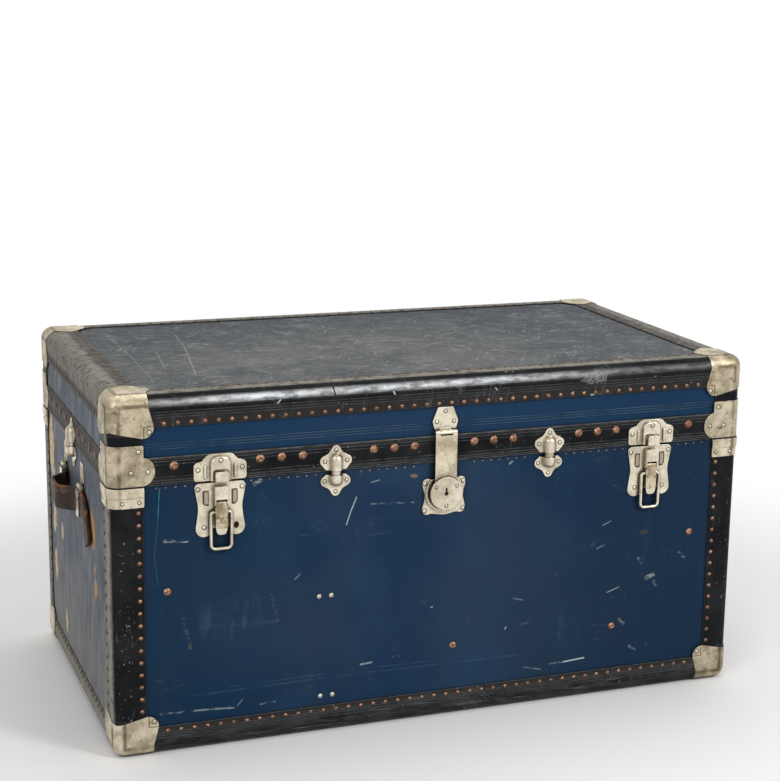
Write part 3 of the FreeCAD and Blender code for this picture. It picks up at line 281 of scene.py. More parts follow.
    def strokes(self, marks, wall, level=False):
        """The strongest of several marks, see WHITE_MARKS, on the wall at y = wall, or z = wall if level."""
        drawn = []
        for strength, width, softness, *points in marks:
            path = [(a * MM, b * MM, wall) if level else (a * MM, wall, b * MM) for a, b in points]
            drawn.append(self.times(self.stroke(path, width * MM, softness * MM), strength))
        return self.either(*drawn)

    def reach(self, centre, radii):
        """Distance from centre, as a share of the radii."""
        off = self.vector("DIVIDE", self.vector("SUBTRACT", self.place, centre), radii)
        return self.vector("LENGTH", off, output=1)

    def patch(self, centre, radii, ragged, tear=1.1):
        """A blot round centre, its edge torn by the noise ragged."""
        edge = self.plus(self.reach(centre, radii), self.times(ragged, tear))
        return self.ramp(edge, 1.05 + tear / 2, 0.95 + tear / 2)

    def edge_distance(self):
        """How far a point lies from the nearest edge of the trunk's outer block."""
        x, y, _ = self.axes()
        dx = self.minus(HALF_LENGTH, self.absolute(x))
        dy = self.minus(HALF_DEPTH, self.absolute(y))
        low = self.math("MINIMUM", dx, dy)
        high = self.either(dx, dy)
        return self.either(low, self.math("MINIMUM", high, self.rise()))

    def rise(self):
        """Height above the trunk's foot or depth under its top, whichever is less."""
        z = self.axes()[2]
        return self.math("MINIMUM", self.minus(z, BASE), self.minus(TOP, z))

    def inside(self):
        """1 on the inner faces of the boards."""
        x, y, z = self.axes()
        slack = INSIDE - 0.2 * MM
        in_x = self.below(self.absolute(x), HALF_LENGTH - slack)
        in_y = self.below(self.absolute(y), HALF_DEPTH - slack)
        in_z = self.times(self.above(z, BASE + slack), self.below(z, TOP - slack))
        return self.times(in_x, in_y, in_z)

    def rim(self):
        """1 on the raw board edges at the parting."""
        near = self.below(self.apart(self.axes()[2], PARTING), 0.9 * MM)
        return self.times(near, self.above(self.absolute(self.axes(self.facing)[2]), 0.7))

    def softened(self, radius):
        """Normals rounded over the sharp edges."""
        return self.add("ShaderNodeBevel", {"Radius": radius}, samples=4)

    def sharp(self, soft):
        """1 on sharp edges, where the softened normals turn away from the true ones."""
        true = self.nodes.new("ShaderNodeNewGeometry").outputs["True Normal"]
        return self.ramp(self.vector("DOT_PRODUCT", soft, true, output=1), 0.985, 0.88)

    def paint(self, shade, *factors):
        """Lays a shade over the colour so far; the product of the factors is its cover."""
        self.colour = self.mix(self.times(*factors), self.colour, shade)

    def shade_and_dirt(self, shade, distance, clean, full, cover):
        """Painted shade and soiling where other surfaces stand close: none from clean up, cover from full
        down.
        """
        openness = self.add("ShaderNodeAmbientOcclusion", {"Distance": distance}, 1, samples=4)
        self.paint(shade, self.ramp(openness, clean, full, 0, cover))

    def finish(self, roughness, height, distance, strength=0.6, soft=None):
        """The material with its colour, roughness and relief; soft is the normal under the relief."""
        self.plug(self.bsdf.inputs["Base Color"], self.colour)
        self.plug(self.bsdf.inputs["Roughness"], roughness)
        inputs = {"Height": height, "Distance": distance, "Strength": strength}
        if soft:
            inputs["Normal"] = soft
        self.links.new(self.add("ShaderNodeBump", inputs), self.bsdf.inputs["Normal"])
        return self.material


def board_layers(shader, roughness, height, distance):
    """Adds the paper lining inside and the raw wood of the parting edge to a wall's outside."""
    grain = shader.noise(90, 4, 0.6, shader.stretched(1, 0, (8, 1, 1)))
    wood = shader.mix(grain, (0.2, 0.12, 0.065), (0.34, 0.23, 0.13))
    stain = shader.blots(13, 6, 0.7, 0.44, 0.76, 0, 0.7)
    paper = shader.mix(stain, (0.54, 0.46, 0.34), (0.36, 0.27, 0.17))
    speck = shader.ramp(shader.cells(420), 0.1, 0.04)
    paper = shader.mix(shader.times(speck, 0.35), paper, (0.22, 0.15, 0.09))
    shader.paint(paper, shader.inside())
    shader.paint(wood, shader.rim())
    roughness = shader.either(roughness, shader.times(shader.inside(), 0.85))
    return shader.finish(roughness, height, distance)


def navy_fibre():
    """Blue painted fibre of the front and back: softly mottled, with the marks seen on the front."""
    shader = Shader("navy_fibre", Specular_IOR_Level=0.06)
    x, _, z = shader.axes()
    cloud = shader.blots(4.5, 3, 0.55, 0.38, 0.64)
    shader.colour = shader.mix(cloud, (0.0085, 0.03, 0.069), (0.0198, 0.038, 0.071))
    shader.paint((0.015, 0.044, 0.09), shader.blots(11, 4, 0.6, 0.42, 0.7, 0, 0.7))
    shader.paint((0.0052, 0.0245, 0.0545), shader.ramp(x, -0.12, -0.42, 0, 0.75))
    shader.paint((0.0058, 0.0215, 0.049), shader.ramp(x, 0.02, 0.34, 0, 0.82))
    shader.paint((0.0085, 0.037, 0.09), shader.ramp(z, PARTING - 1 * MM, PARTING + 1 * MM, 0, 0.7))
    streak = shader.noise(60, 3, 0.6, shader.stretched(1, 0, (1, 1, 9)))
    shader.paint((0.02, 0.048, 0.088), shader.ramp(streak, 0.52, 0.8, 0, 0.3))
    shader.paint((0.03, 0.058, 0.086), shader.blots(120, 5, 0.7, 0.6, 0.8, 0, 0.35))
    scratch = shader.scratches(1, (64, 150, 0.02, 0.4, 0, 12), (6, 170, 0.02, 0.39, 4.3, 12),
                               (118, 130, 0.018, 0.38, 7.9, 10))
    shader.paint((0.085, 0.135, 0.185), scratch, 0.24)
    shader.paint((0.22, 0.29, 0.33), shader.blots(360, 2, 0.6, 0.735, 0.765),
                 shader.blots(12, 2, 0.5, 0.5, 0.66), 0.7)
    front = -HALF_DEPTH + BOARD_FACE
    broken = shader.ramp(shader.noise(200, 4, 0.7, shader.stretched(1, 0, (2.2, 1, 1))), 0.42, 0.62)
    dragged = shader.noise(90, 4, 0.75, shader.stretched(1, 0, (4, 1, 1)))
    shader.paint((0.04, 0.082, 0.132), shader.strokes(FAINT_MARKS, front),
                 shader.ramp(dragged, 0.42, 0.62, 0.05, 1))
    wiped = shader.noise(70, 4, 0.7, shader.stretched(1, 2, (1, 1, 7)))
    lower_left = shader.reach((-302 * MM, front, 176 * MM), (60 * MM, 200 * MM, 46 * MM))
    shader.paint((0.04, 0.085, 0.135), shader.ramp(lower_left, 1, 0.1),
                 shader.blots(26, 4, 0.7, 0.38, 0.62), shader.ramp(wiped, 0.44, 0.64, 0.05, 0.75))
    shader.paint((0.085, 0.092, 0.062), broken, shader.strokes(OLIVE_MARKS, front))
    rubbed = shader.times(broken, shader.strokes(RUBBED_MARKS, front))
    shader.paint((0.46, 0.51, 0.52), shader.either(shader.strokes(WHITE_MARKS, front), rubbed))
    shader.paint((0.06, 0.3, 0.36), shader.strokes(TEAL_MARKS, front),
                 shader.blots(60, 4, 0.7, 0.35, 0.6, 0.3, 1))
    ragged = shader.noise(160, 4, 0.7)
    for u, w, half_long, half_high, shade in FRONT_SPOTS:
        radii = (half_long * MM, 50 * MM, half_high * MM)
        shader.paint(shade, shader.patch((u * MM, front, w * MM), radii, ragged))
    lines = shader.lines(z, LID_LINES, 0.8 * MM, 0.2 * MM)
    shader.paint((0.085, 0.135, 0.185), lines, shader.blots(30, 3, 0.6, 0.36, 0.56, 0.25, 0.75))
    # Painted contact shadow, with dirt, beside the plates and bindings
    shader.shade_and_dirt((0.003, 0.0045, 0.007), 14 * MM, 0.96, 0.5, 0.92)
    height = shader.plus(shader.times(shader.noise(900, 2, 0.6), 0.12), lines)
    roughness = shader.blots(22, 4, 0.6, 0.3, 0.7, 0.36, 0.54)
    return board_layers(shader, roughness, height, 0.5 * MM)


def end_fibre():
    """Faded slate fibre of the ends, torn to cream and orange board in places."""
    shader = Shader("end_fibre", Specular_IOR_Level=0.05)
    x, _, z = shader.axes()
    cloud = shader.blots(8, 5, 0.65, 0.32, 0.68)
    shader.colour = shader.mix(cloud, (0.074, 0.091, 0.116), (0.128, 0.142, 0.162))
    shader.paint((0.225, 0.21, 0.202), shader.ramp(z, 0.24, 0.06, 0, 0.65))
    shader.paint((0.082, 0.098, 0.13), shader.ramp(z, PARTING, PARTING + 4 * MM, 0, 0.5))
    wipe = shader.noise(60, 4, 0.65, shader.stretched(0, 12, (1, 1, 5)))
    shader.paint((0.235, 0.24, 0.245), shader.ramp(wipe, 0.48, 0.72, 0, 0.7))
    shader.paint((0.058, 0.07, 0.092), shader.ramp(wipe, 0.46, 0.28, 0, 0.55))
    scratch = shader.scratches(0, (40, 130, 0.024, 0.43, 0, 14), (-70, 120, 0.022, 0.43, 2.9, 14))
    shader.paint((0.34, 0.35, 0.35), scratch, 0.45)
    ragged = shader.noise(64, 6, 0.75, shader.stretched(0, 4, (1, 1, 2)), 0.6)
    face = -HALF_LENGTH + BOARD_FACE
    torn_tone = shader.blots(130, 4, 0.6, 0.35, 0.65)
    patches = []
    for tears, dark, light in ((CREAM_TEARS, (0.52, 0.38, 0.2), (0.72, 0.6, 0.4)),
                               (ORANGE_TEARS, (0.44, 0.2, 0.05), (0.62, 0.33, 0.11))):
        shown = shader.either(*[shader.patch((face, v * MM, w * MM), (1, rv * MM, rw * MM), ragged, 4)
                                for v, w, rv, rw in tears])
        shown = shader.times(shown, shader.below(x, 0))
        shader.paint(shader.mix(torn_tone, dark, light), shown)
        patches.append(shown)
    # Painted shade, with dirt, beside the bindings and plates
    shader.shade_and_dirt((0.016, 0.014, 0.012), 8 * MM, 0.9, 0.42, 0.8)
    height = shader.minus(shader.times(shader.noise(700, 3, 0.6), 0.3),
                          shader.times(shader.either(*patches), 0.8))
    roughness = shader.blots(25, 4, 0.6, 0.3, 0.7, 0.44, 0.62)
    return board_layers(shader, roughness, height, 0.4 * MM)


def top_fibre():
    """Worn grey-black of the lid's top: short drawn dashes with fine scratches across them."""
    shader = Shader("top_fibre", Specular_IOR_Level=0.03)
    x, y, _ = shader.axes()
    cloud = shader.blots(7, 5, 0.66, 0.34, 0.66)
    shader.colour = shader.mix(cloud, (0.07, 0.076, 0.083), (0.128, 0.133, 0.134))
    shader.paint((0.042, 0.049, 0.06), shader.ramp(y, -0.05, 0.22, 0, 0.75))
    shader.paint((0.048, 0.056, 0.07), shader.ramp(x, 0.05, 0.4, 0, 0.45))
    drawn = shader.noise(150, 6, 0.74, shader.stretched(2, 3, (2.8, 1, 1)), 1.1)
    shader.paint((0.215, 0.22, 0.215), shader.ramp(drawn, 0.5, 0.66, 0, 0.62))
    shader.paint((0.03, 0.034, 0.04), shader.ramp(drawn, 0.5, 0.35, 0, 0.66))
    shader.paint((0.24, 0.245, 0.24), shader.blots(430, 3, 0.65, 0.56, 0.74, 0, 0.4))
    scratch = shader.scratches(2, (3, 170, 0.04, 0.49, 0, 14), (62, 110, 0.02, 0.46, 2.2, 12),
                               (118, 100, 0.02, 0.45, 5.6, 12))
    shader.paint((0.38, 0.38, 0.37), scratch, 0.5)
    shader.paint((0.42, 0.42, 0.4), shader.strokes(TOP_SCRATCHES, TOP - BOARD_FACE, level=True),
                 shader.blots(90, 3, 0.6, 0.36, 0.56, 0.3, 1))
    # Painted shade, with dirt, along the inner edges of the bindings
    shader.shade_and_dirt((0.01, 0.01, 0.01), 6 * MM, 0.92, 0.55, 0.85)
    roughness = shader.ramp(drawn, 0.3, 0.7, 0.48, 0.66)
    return board_layers(shader, roughness, drawn, 0.3 * MM)


def black_fibre():
    """Hard black fibre of the bindings: a painted highlight along the lid's front edge, ribbed, grey where it
    is rubbed, with painted light on the faces turned up and out to the ends.
    """
    shader = Shader("black_fibre", Specular_IOR_Level=0.02)
    x, y, z = shader.axes()
    nx, ny, nz = shader.axes(shader.facing)
    edge = shader.edge_distance()
    soft = shader.softened(0.7 * MM)
    cloud = shader.blots(18, 4, 0.6, 0.3, 0.7)
    shader.colour = shader.mix(cloud, (0.009, 0.0094, 0.0102), (0.019, 0.0195, 0.0203))
    rise = shader.rise()
    shader.paint((0.034, 0.031, 0.03), shader.ramp(rise, 20 * MM, 31 * MM), shader.below(rise, 52 * MM), 0.75)
    drawn = shader.noise(85, 5, 0.72, None, 0.8)
    # Grey of wear with painted light, laid on faces turned up, on the upper bends and on the outer end faces
    worn_and_lit = shader.mix(shader.ramp(drawn, 0.34, 0.66), (0.072, 0.068, 0.061), (0.174, 0.165, 0.145))
    stain = shader.noise(32, 5, 0.7, shader.stretched(2, 0, (1, 2.5, 1)), 0.8)
    worn_and_lit = shader.mix(shader.ramp(stain, 0.5, 0.68, 0, 0.55), worn_and_lit, (0.062, 0.058, 0.052))
    outer = shader.above(shader.absolute(x), HALF_LENGTH - 3 * MM)
    side = shader.absolute(nx)
    bend = shader.times(shader.ramp(nz, 0.08, 0.3),
                        shader.either(shader.ramp(side, 0.1, 0.3), shader.ramp(ny, 0.1, 0.3)), 0.9)
    flat = shader.either(shader.ramp(nz, 0.93, 0.995, 0, 0.94), bend,
                         shader.times(outer, shader.ramp(side, 0.93, 0.995, 0, 0.86)))
    shader.paint(worn_and_lit, flat)
    # Pale wear with painted light on the outer end faces of the posts
    strip = shader.times(outer, shader.ramp(side, 0.8, 0.99), shader.below(z, PARTING - 1 * MM))
    shader.paint((0.285, 0.268, 0.232), strip, shader.ramp(drawn, 0.32, 0.6, 0.25, 0.75))
    rub = shader.times(flat, shader.ramp(edge, 32 * MM, 24 * MM), shader.ramp(drawn, 0.3, 0.56))
    shader.paint((0.34, 0.322, 0.28), rub, 0.6)
    low = shader.times(shader.ramp(z, BASE + 38 * MM, BASE + 30 * MM),
                       shader.ramp(shader.absolute(ny), 0.3, 0.6))
    dragged = shader.noise(110, 5, 0.75, shader.stretched(1, 0, (5, 1, 1)), 0.5)
    shader.paint((0.058, 0.059, 0.06), low, shader.ramp(dragged, 0.36, 0.64, 0.05, 0.7))
    line = shader.ramp(shader.noise(170, 3, 0.6, shader.stretched(1, 1, (16, 1, 1))), 0.6, 0.72, 0, 0.6)
    shader.paint((0.22, 0.22, 0.215), low, line)
    scratch = shader.scratches(1, (40, 120, 0.026, 0.41, 0, 14), (100, 110, 0.024, 0.41, 3.7, 14))
    shader.paint((0.13, 0.135, 0.14), scratch, 0.4)
    left_post = shader.times(shader.ramp(shader.apart(x, -440 * MM), 13 * MM, 4 * MM),
                             shader.ramp(z, 270 * MM, 180 * MM))
    right_post = shader.times(shader.ramp(x, 438 * MM, 446 * MM), shader.ramp(z, 340 * MM, 300 * MM), 0.6)
    knocks = shader.times(shader.either(left_post, right_post), shader.below(y, 0))
    chipped = shader.noise(330, 3, 0.65, shader.stretched(1, 10, (1, 1, 1.5)))
    flecks = shader.either(
        shader.times(shader.blots(260, 2, 0.6, 0.72, 0.75), shader.blots(16, 2, 0.5, 0.46, 0.62)),
        shader.times(shader.blots(120, 3, 0.6, 0.7, 0.73), shader.blots(9, 2, 0.5, 0.52, 0.64)),
        shader.times(shader.ramp(chipped, 0.64, 0.68), knocks))
    shader.paint((0.46, 0.47, 0.47), flecks, 0.8)
    front = -HALF_DEPTH
    ragged = shader.noise(150, 4, 0.7)
    patchy = shader.noise(130, 4, 0.7, shader.stretched(1, 0, (3, 1, 1)))
    scuff = shader.patch((222 * MM, front + 1 * MM, 470 * MM), (20 * MM, 20 * MM, 7 * MM), ragged)
    scuff = shader.times(scuff, shader.blots(560, 4, 0.75, 0.4, 0.68, 0.05, 0.65))
    shader.paint((0.52, 0.53, 0.53), shader.either(scuff, shader.strokes(EDGE_NICKS, front)), 0.85)
    rib = shader.times(shader.lines(rise, BINDING_RIBS, 0.9 * MM, 0.2 * MM),
                       shader.above(shader.absolute(ny), 0.7))
    band_low, band_high = (corner.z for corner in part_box("lid_band"))
    share = shader.math("DIVIDE", shader.minus(z, band_low), band_high - band_low)
    on_band = shader.times(shader.above(share, 0), shader.below(share, 1))
    rib = shader.either(rib, shader.times(shader.lines(share, BAND_RIDGES, 0.024, 0.006), on_band))
    shader.paint((0.092, 0.103, 0.114), rib, shader.ramp(drawn, 0.38, 0.62, 0.1, 0.75))
    lips = shader.times(on_band, shader.either(shader.above(share, 0.962), shader.below(share, 0.025)))
    shader.paint((0.175, 0.178, 0.172), lips, shader.ramp(patchy, 0.36, 0.62, 0.15, 0.7))
    # Painted highlight and wear along the sharp edges
    shader.paint((0.165, 0.165, 0.158), shader.sharp(soft), 0.7)
    crack = shader.stroke([(-0.1585, front + 4 * MM, 0.484), (-0.1564, front, 0.473)], 0.6 * MM, 1 * MM)
    dull = shader.noise(24, 5, 0.7, shader.stretched(1, 0, (2.5, 1, 1)), 0.6)
    # Painted highlight along the lower part of the lid's rounded front edge, broken in patches, at the seam
    # crack and towards the ends
    gleam = shader.times(shader.lines(nz, [0.36], 0.4, 0.02), shader.above(z, TOP - 18 * MM),
                         shader.below(ny, 0), shader.ramp(patchy, 0.32, 0.62, 0.3, 1),
                         shader.ramp(dull, 0.34, 0.54, 0.55, 1), shader.ramp(crack, 0, 1, 1, 0),
                         shader.ramp(x, -0.44, -0.26, 0.25, 1), shader.ramp(x, 0.3, 0.02, 0.2, 1))
    shader.paint((0.82, 0.84, 0.86), gleam)
    height = shader.plus(rib, shader.times(shader.noise(420, 3, 0.6), 0.3))
    roughness = shader.either(shader.blots(30, 4, 0.6, 0.3, 0.7, 0.28, 0.44), shader.times(flat, 0.66))
    return shader.finish(roughness, height, 0.6 * MM, 0.7, soft)


def nickel(name, bright, dull, brown, stain, pressed=False, nub=0):
    """Worn nickel plate, brown with tarnish and painted shade in its hollows; plain plates get painted shade
    where they turn from the walls, pressed caps a painted dark reflection along their bends; below nub it is
    polished, with a painted highlight.
    """
    shader = Shader(name, Metallic=1.0)
    x, y, z = shader.axes()
    soft = shader.softened(0.6 * MM)
    cloud = shader.blots(36, 5, 0.7, 0.36, 0.62)
    shader.colour = shader.mix(cloud, dull, bright)
    tarnish = shader.blots(120, 5, 0.72, stain, stain + 0.16, 0, 0.8)
    shader.paint(brown, tarnish)
    pits = shader.times(shader.ramp(shader.cells(330), 0.2, 0.08), shader.blots(75, 3, 0.6, 0.46, 0.6))
    shader.paint((0.05, 0.032, 0.017), pits, 0.85)
    height = shader.minus(shader.times(shader.noise(240, 4, 0.6), 0.5), pits)
    if pressed:
        # Painted dark reflection along the middle of the caps' bends
        bend_reflection = shader.lines(shader.edge_distance(), [13 * MM], 4.5 * MM, 0.6 * MM)
        shader.paint((0.08, 0.05, 0.022), bend_reflection, shader.blots(45, 3, 0.6, 0.34, 0.58, 0.25, 1), 0.75)
        seam = PARTING - 1 * MM
        right_clamps = shader.times(shader.above(z, seam), shader.above(x, 0.38), shader.ramp(z, 0.436, 0.43))
        left_collars = shader.times(shader.below(x, -0.38), shader.below(z, seam), shader.ramp(z, 0.3, 0.31))
        shader.paint((0.86, 0.78, 0.62), shader.either(right_clamps, left_collars),
                     shader.ramp(tarnish, 0.6, 0, 0, 0.2))
        square = pressed_square(shader)
        shader.paint((0.07, 0.048, 0.024), square, 0.8)
        height = shader.minus(height, shader.times(square, 1.5))
    else:
        # Painted shade and dark reflection where the surface turns away from the walls and the top, as on
        # domes and bends
        turned = shader.either(*[shader.absolute(part) for part in shader.axes(shader.facing)])
        shader.paint((0.115, 0.08, 0.045), shader.ramp(turned, 0.98, 0.76, 0, 0.45))
        # Painted shade, with grime, on the plates' sunk parts and in the hole of the lost rivet
        out = shader.either(shader.minus(shader.absolute(y), HALF_DEPTH),
                            shader.minus(shader.absolute(x), HALF_LENGTH))
        sunk = shader.ramp(out, -0.5 * MM, -0.9 * MM, 0, 0.9)
        lost = ((LOST_RIVET[0] - LATCH_X) * MM, -HALF_DEPTH, PARTING + LOST_RIVET[1] * MM)
        hole = shader.patch(lost, (3.6 * MM, 10 * MM, 4.6 * MM), shader.noise(90, 1, 0.5), 0.3)
        shader.paint((0.024, 0.016, 0.009), shader.either(sunk, hole))
        slot_floor = shader.lines(x, [middle * MM for middle in SLOT_FLOORS], 2.9 * MM, 2.1 * MM)
        window = shader.lines(z, [PARTING - 23 * MM], 9 * MM, 7.5 * MM)
        shader.paint((0.44, 0.38, 0.28), slot_floor, window, shader.ramp(sunk, 0.5, 0.6))
        if nub:
            # Polish with a painted highlight on the lever's finger nub
            shader.paint((0.78, 0.72, 0.58), shader.ramp(z, nub + 1 * MM, nub - 1 * MM, 0, 0.7))
    # Painted shade, with tarnish, in the hollows and beside the ridges
    shader.shade_and_dirt((0.04, 0.025, 0.012), 6 * MM, 0.94, 0.45, 0.92)
    # Painted highlight and wear along the sharp edges
    shader.paint((0.8, 0.75, 0.64), shader.sharp(soft), 0.6)
    matt = 0.14 if pressed else 0.0
    roughness = shader.blots(95, 4, 0.65, 0.3, 0.7, 0.24 + matt, 0.46 + matt)
    return shader.finish(roughness, height, 0.3 * MM, soft=soft)


def pressed_square(shader):
    """The pressed square round the rivet of a corner cap."""
    x, y, _ = shader.axes()
    along = shader.either(shader.minus(HALF_LENGTH, shader.absolute(x)),
                          shader.minus(HALF_DEPTH, shader.absolute(y)))
    rise = shader.rise()
    upright = shader.ramp(shader.absolute(shader.axes(shader.facing)[2]), 0.5, 0.3)
    near, low = 45.5 * MM, 40 * MM
    post = shader.times(shader.lines(along, [near], 1 * MM, 0.3 * MM), shader.above(rise, low))
    beam = shader.times(shader.lines(rise, [low], 1 * MM, 0.3 * MM), shader.above(along, near))
    return shader.times(shader.either(post, beam), upright, shader.below(rise, 58 * MM))


def copper():
    """Copper of tack heads and panel rivets: bright where it is rubbed, with painted shade on the lower side
    of each head, maroon on the ends and the top.
    """
    shader = Shader("copper_rivet", Metallic=0.85)
    x, _, z = shader.axes()
    tone = shader.noise(330, 3, 0.6)
    shader.colour = shader.mix(shader.ramp(tone, 0.38, 0.64), (0.18, 0.082, 0.048), (0.5, 0.285, 0.185))
    # Painted shade on the lower side of each head
    under = shader.ramp(shader.axes(shader.facing)[2], 0.35, -0.6, 0, 0.75)
    shader.paint((0.055, 0.026, 0.016), under)
    shader.paint((0.16, 0.075, 0.045), shader.blots(28, 2, 0.5, 0.52, 0.7, 0, 0.7))
    dull = shader.either(shader.above(z, TOP - 0.2 * MM),
                         shader.above(shader.absolute(x), HALF_LENGTH - 0.2 * MM))
    shader.paint((0.062, 0.026, 0.02), dull, 0.85)
    pin_x, pin_z, half_long, half_high = (size * MM for size in PALE_PINS)
    shader.paint((0.5, 0.45, 0.36), shader.below(shader.apart(x, pin_x), half_long),
                 shader.below(shader.apart(z, pin_z), half_high))
    # Painted shade, with dirt, round the heads' feet
    shader.shade_and_dirt((0.02, 0.009, 0.005), 2 * MM, 0.8, 0.45, 0.85)
    return shader.finish(shader.ramp(tone, 0.3, 0.7, 0.3, 0.52), tone, 0.2 * MM, 0.4)


def steel():
    """Dark plain steel of pins, bolt and stay hardware."""
    shader = Shader("steel", Metallic=1.0)
    tone = shader.noise(190, 4, 0.65)
    shader.colour = shader.mix(shader.ramp(tone, 0.35, 0.65), (0.16, 0.145, 0.125), (0.34, 0.32, 0.29))
    shader.paint((0.14, 0.065, 0.03), shader.blots(70, 4, 0.7, 0.58, 0.74, 0, 0.7))
    return shader.finish(shader.ramp(tone, 0.3, 0.7, 0.32, 0.55), tone, 0.2 * MM, 0.4)


def leather(edge):
    """Dark strap leather, or its raw cut edge."""
    shader = Shader("leather_edge" if edge else "leather", Specular_IOR_Level=0.25)
    crack = shader.ramp(shader.cells(620, feature="DISTANCE_TO_EDGE"), 0.1, 0)
    tone = shader.blots(45, 4, 0.6, 0.32, 0.68)
    if edge:
        shader.colour = shader.mix(shader.ramp(tone, 0.45, 0.9), (0.03, 0.014, 0.008), (0.24, 0.085, 0.028))
    else:
        shader.colour = shader.mix(tone, (0.012, 0.007, 0.0045), (0.048, 0.027, 0.0145))
        shader.paint((0.18, 0.095, 0.04), shader.blots(85, 5, 0.7, 0.56, 0.7, 0, 0.6))
        shader.paint((0.3, 0.22, 0.15), shader.scratches(0, (12, 160, 0.05, 0.45, 0, 26)), 0.4)
    height = shader.minus(shader.noise(160, 4, 0.6), shader.times(crack, 0.5))
    return shader.finish(shader.ramp(tone, 0, 1, 0.36, 0.62), height, 0.4 * MM)


def grime_and_shadow():
    """Brown soiling and painted shadow in the ring round a rivet."""
    shader = Shader("grime_and_shadow")
    tone = shader.noise(260, 4, 0.6)
    shader.colour = shader.mix(shader.ramp(tone, 0.3, 0.7), (0.018, 0.01, 0.005), (0.06, 0.036, 0.018))
    return shader.finish(shader.ramp(tone, 0.3, 0.7, 0.55, 0.8), tone, 0.1 * MM, 0.3)


NAVY = navy_fibre()
ENDS = end_fibre()
TOP_PANEL = top_fibre()
BLACK = black_fibre()
CAP_METAL = nickel("nickel_caps", (0.56, 0.487, 0.355), (0.28, 0.235, 0.152), (0.13, 0.085, 0.04), 0.53,
                   pressed=True)
# A brighter copy of the caps' nickel, for the collars, the hasp strap and the lower left caps; on those caps
# the extra brightness is painted light
COLLAR_METAL = nickel("nickel_collars", (0.72, 0.64, 0.49), (0.42, 0.36, 0.255), (0.19, 0.13, 0.065), 0.56,
                      pressed=True)
PLATE_METAL = nickel("nickel", (0.8, 0.73, 0.59), (0.54, 0.48, 0.36), (0.26, 0.18, 0.1), 0.58)
LEVER_METAL = nickel("nickel_worn", (0.64, 0.56, 0.41), (0.3, 0.23, 0.13), (0.11, 0.07, 0.03), 0.5,
                     nub=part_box("latch_lever_left")[0].z + 8 * MM)
COPPER = copper()
STEEL = steel()
LEATHER = leather(False)
LEATHER_EDGE = leather(True)
GRIME_AND_SHADOW = grime_and_shadow()

# Materials by the starts of the nodes' names; all other nodes are PLATE_METAL
MATERIAL_OF = [
    (("case_front_board", "case_back_board", "lid_front_board", "lid_back_board"), NAVY),
    (("case_left", "case_right", "lid_left", "lid_right", "case_bottom_board"), ENDS),
    (("lid_top_board",), TOP_PANEL),
    (("lid_binding", "lid_corner", "lid_band", "case_corner_bindings", "bottom_bindings"), BLACK),
    (("top_cap", "bottom_cap_front_right", "bottom_cap_back_right"), CAP_METAL),
    (("lid_clamps", "handle_plates"), CAP_METAL),
    # The lower left caps take the brighter nickel as painted light
    (("case_collars", "bottom_cap_front_left", "bottom_cap_back_left", "hasp_strap"), COLLAR_METAL),
    (("band_rivets", "panel_rivets"), COPPER),
    (("latch_lever",), LEVER_METAL),
    (("hinge_", "hasp_pin", "stay_", "lid_stay", "lock_bolt"), STEEL),
    (("handle_strap",), LEATHER),
]
for name, node in nodes.items():
    chosen = next((material for starts, material in MATERIAL_OF if name.startswith(starts)), PLATE_METAL)
    node.data.materials.clear()
    node.data.materials.append(chosen)


def add_object(name, data):
    """An object of the scene."""
    piece = bpy.data.objects.new(name, data)
    scene.collection.objects.link(piece)
    return piece


def mesh_object(name, mesh, materials):
    """A bmesh as a smooth object."""
    data = bpy.data.meshes.new(name)
    mesh.to_mesh(data)
    mesh.free()
    for material in materials:
        data.materials.append(material)
    data.shade_smooth()
    return add_object(name, data)


def new_object(name, mesh, materials, body):
    """A bmesh as a smooth object that rides on a body."""
    piece = mesh_object(name, mesh, materials)
    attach(piece, body)
    return piece


def add_dome(mesh, place, out, radius, height, dirt_and_shadow_width):
    """A domed head; its radius, height and the width of the ring of soiling and painted shadow round it are
    in millimetres.
    """
    side = out.orthogonal().normalized()
    across = out.cross(side)
    count = 14
    rows = [(radius + dirt_and_shadow_width, 0.04), (radius, 0.1), (radius, 0.0), (0.93 * radius, 0.45 * height),
            (0.7 * radius, 0.8 * height), (0.36 * radius, 0.96 * height)]
    rings = []
    for reach, rise in rows:
        ring = []
        for step in range(count):
            angle = 2 * math.pi * step / count
            spoke = (side * math.cos(angle) + across * math.sin(angle)) * reach
            ring.append(mesh.verts.new(place + (spoke + out * rise) * MM))
        rings.append(ring)
    crown = mesh.verts.new(place + out * height * MM)
    for level, (outer, inner) in enumerate(zip(rings, rings[1:])):
        for step in range(count):
            face = mesh.faces.new((outer[step], outer[step - 1], inner[step - 1], inner[step]))
            # The outer ring takes the second material: brown grime and painted shadow round the head
            face.material_index = 1 if level == 0 else 0
    for step in range(count):
        mesh.faces.new((rings[-1][step], rings[-1][step - 1], crown))


FRONT, BACK = Vector((0, -1, 0)), Vector((0, 1, 0))
LEFT, RIGHT = Vector((-1, 0, 0)), Vector((1, 0, 0))
UP = Vector((0, 0, 1))


def on_wall(out, u, z, n):
    """A point of a wall: u along it, z up, n out of the bindings' face; millimetres."""
    if out in (FRONT, BACK):
        return Vector((u * MM, out.y * (HALF_DEPTH + n * MM), z * MM))
    return Vector((out.x * (HALF_LENGTH + n * MM), u * MM, z * MM))


def spread(end, pitch):
    """Even places from -end to end, about pitch apart."""
    count = round(2 * end / pitch)
    return [-end + 2 * end * step / count for step in range(count + 1)]


# Plates that cover the row of small tacks under the band: middle and half width
EDGE_PLATES = ((0, 34), (DOWEL_X, 24), (HINGE_X, 24), (LATCH_X, 42))
# Rows of tacks by walls: half length and height on the case, the same on the lid, and the posts' middle
WALL_TACKS = (((FRONT, BACK), (386, 33.3), (385, 450.5), 420),
              ((LEFT, RIGHT), (182, 35.6), (185, 453), 215.3))
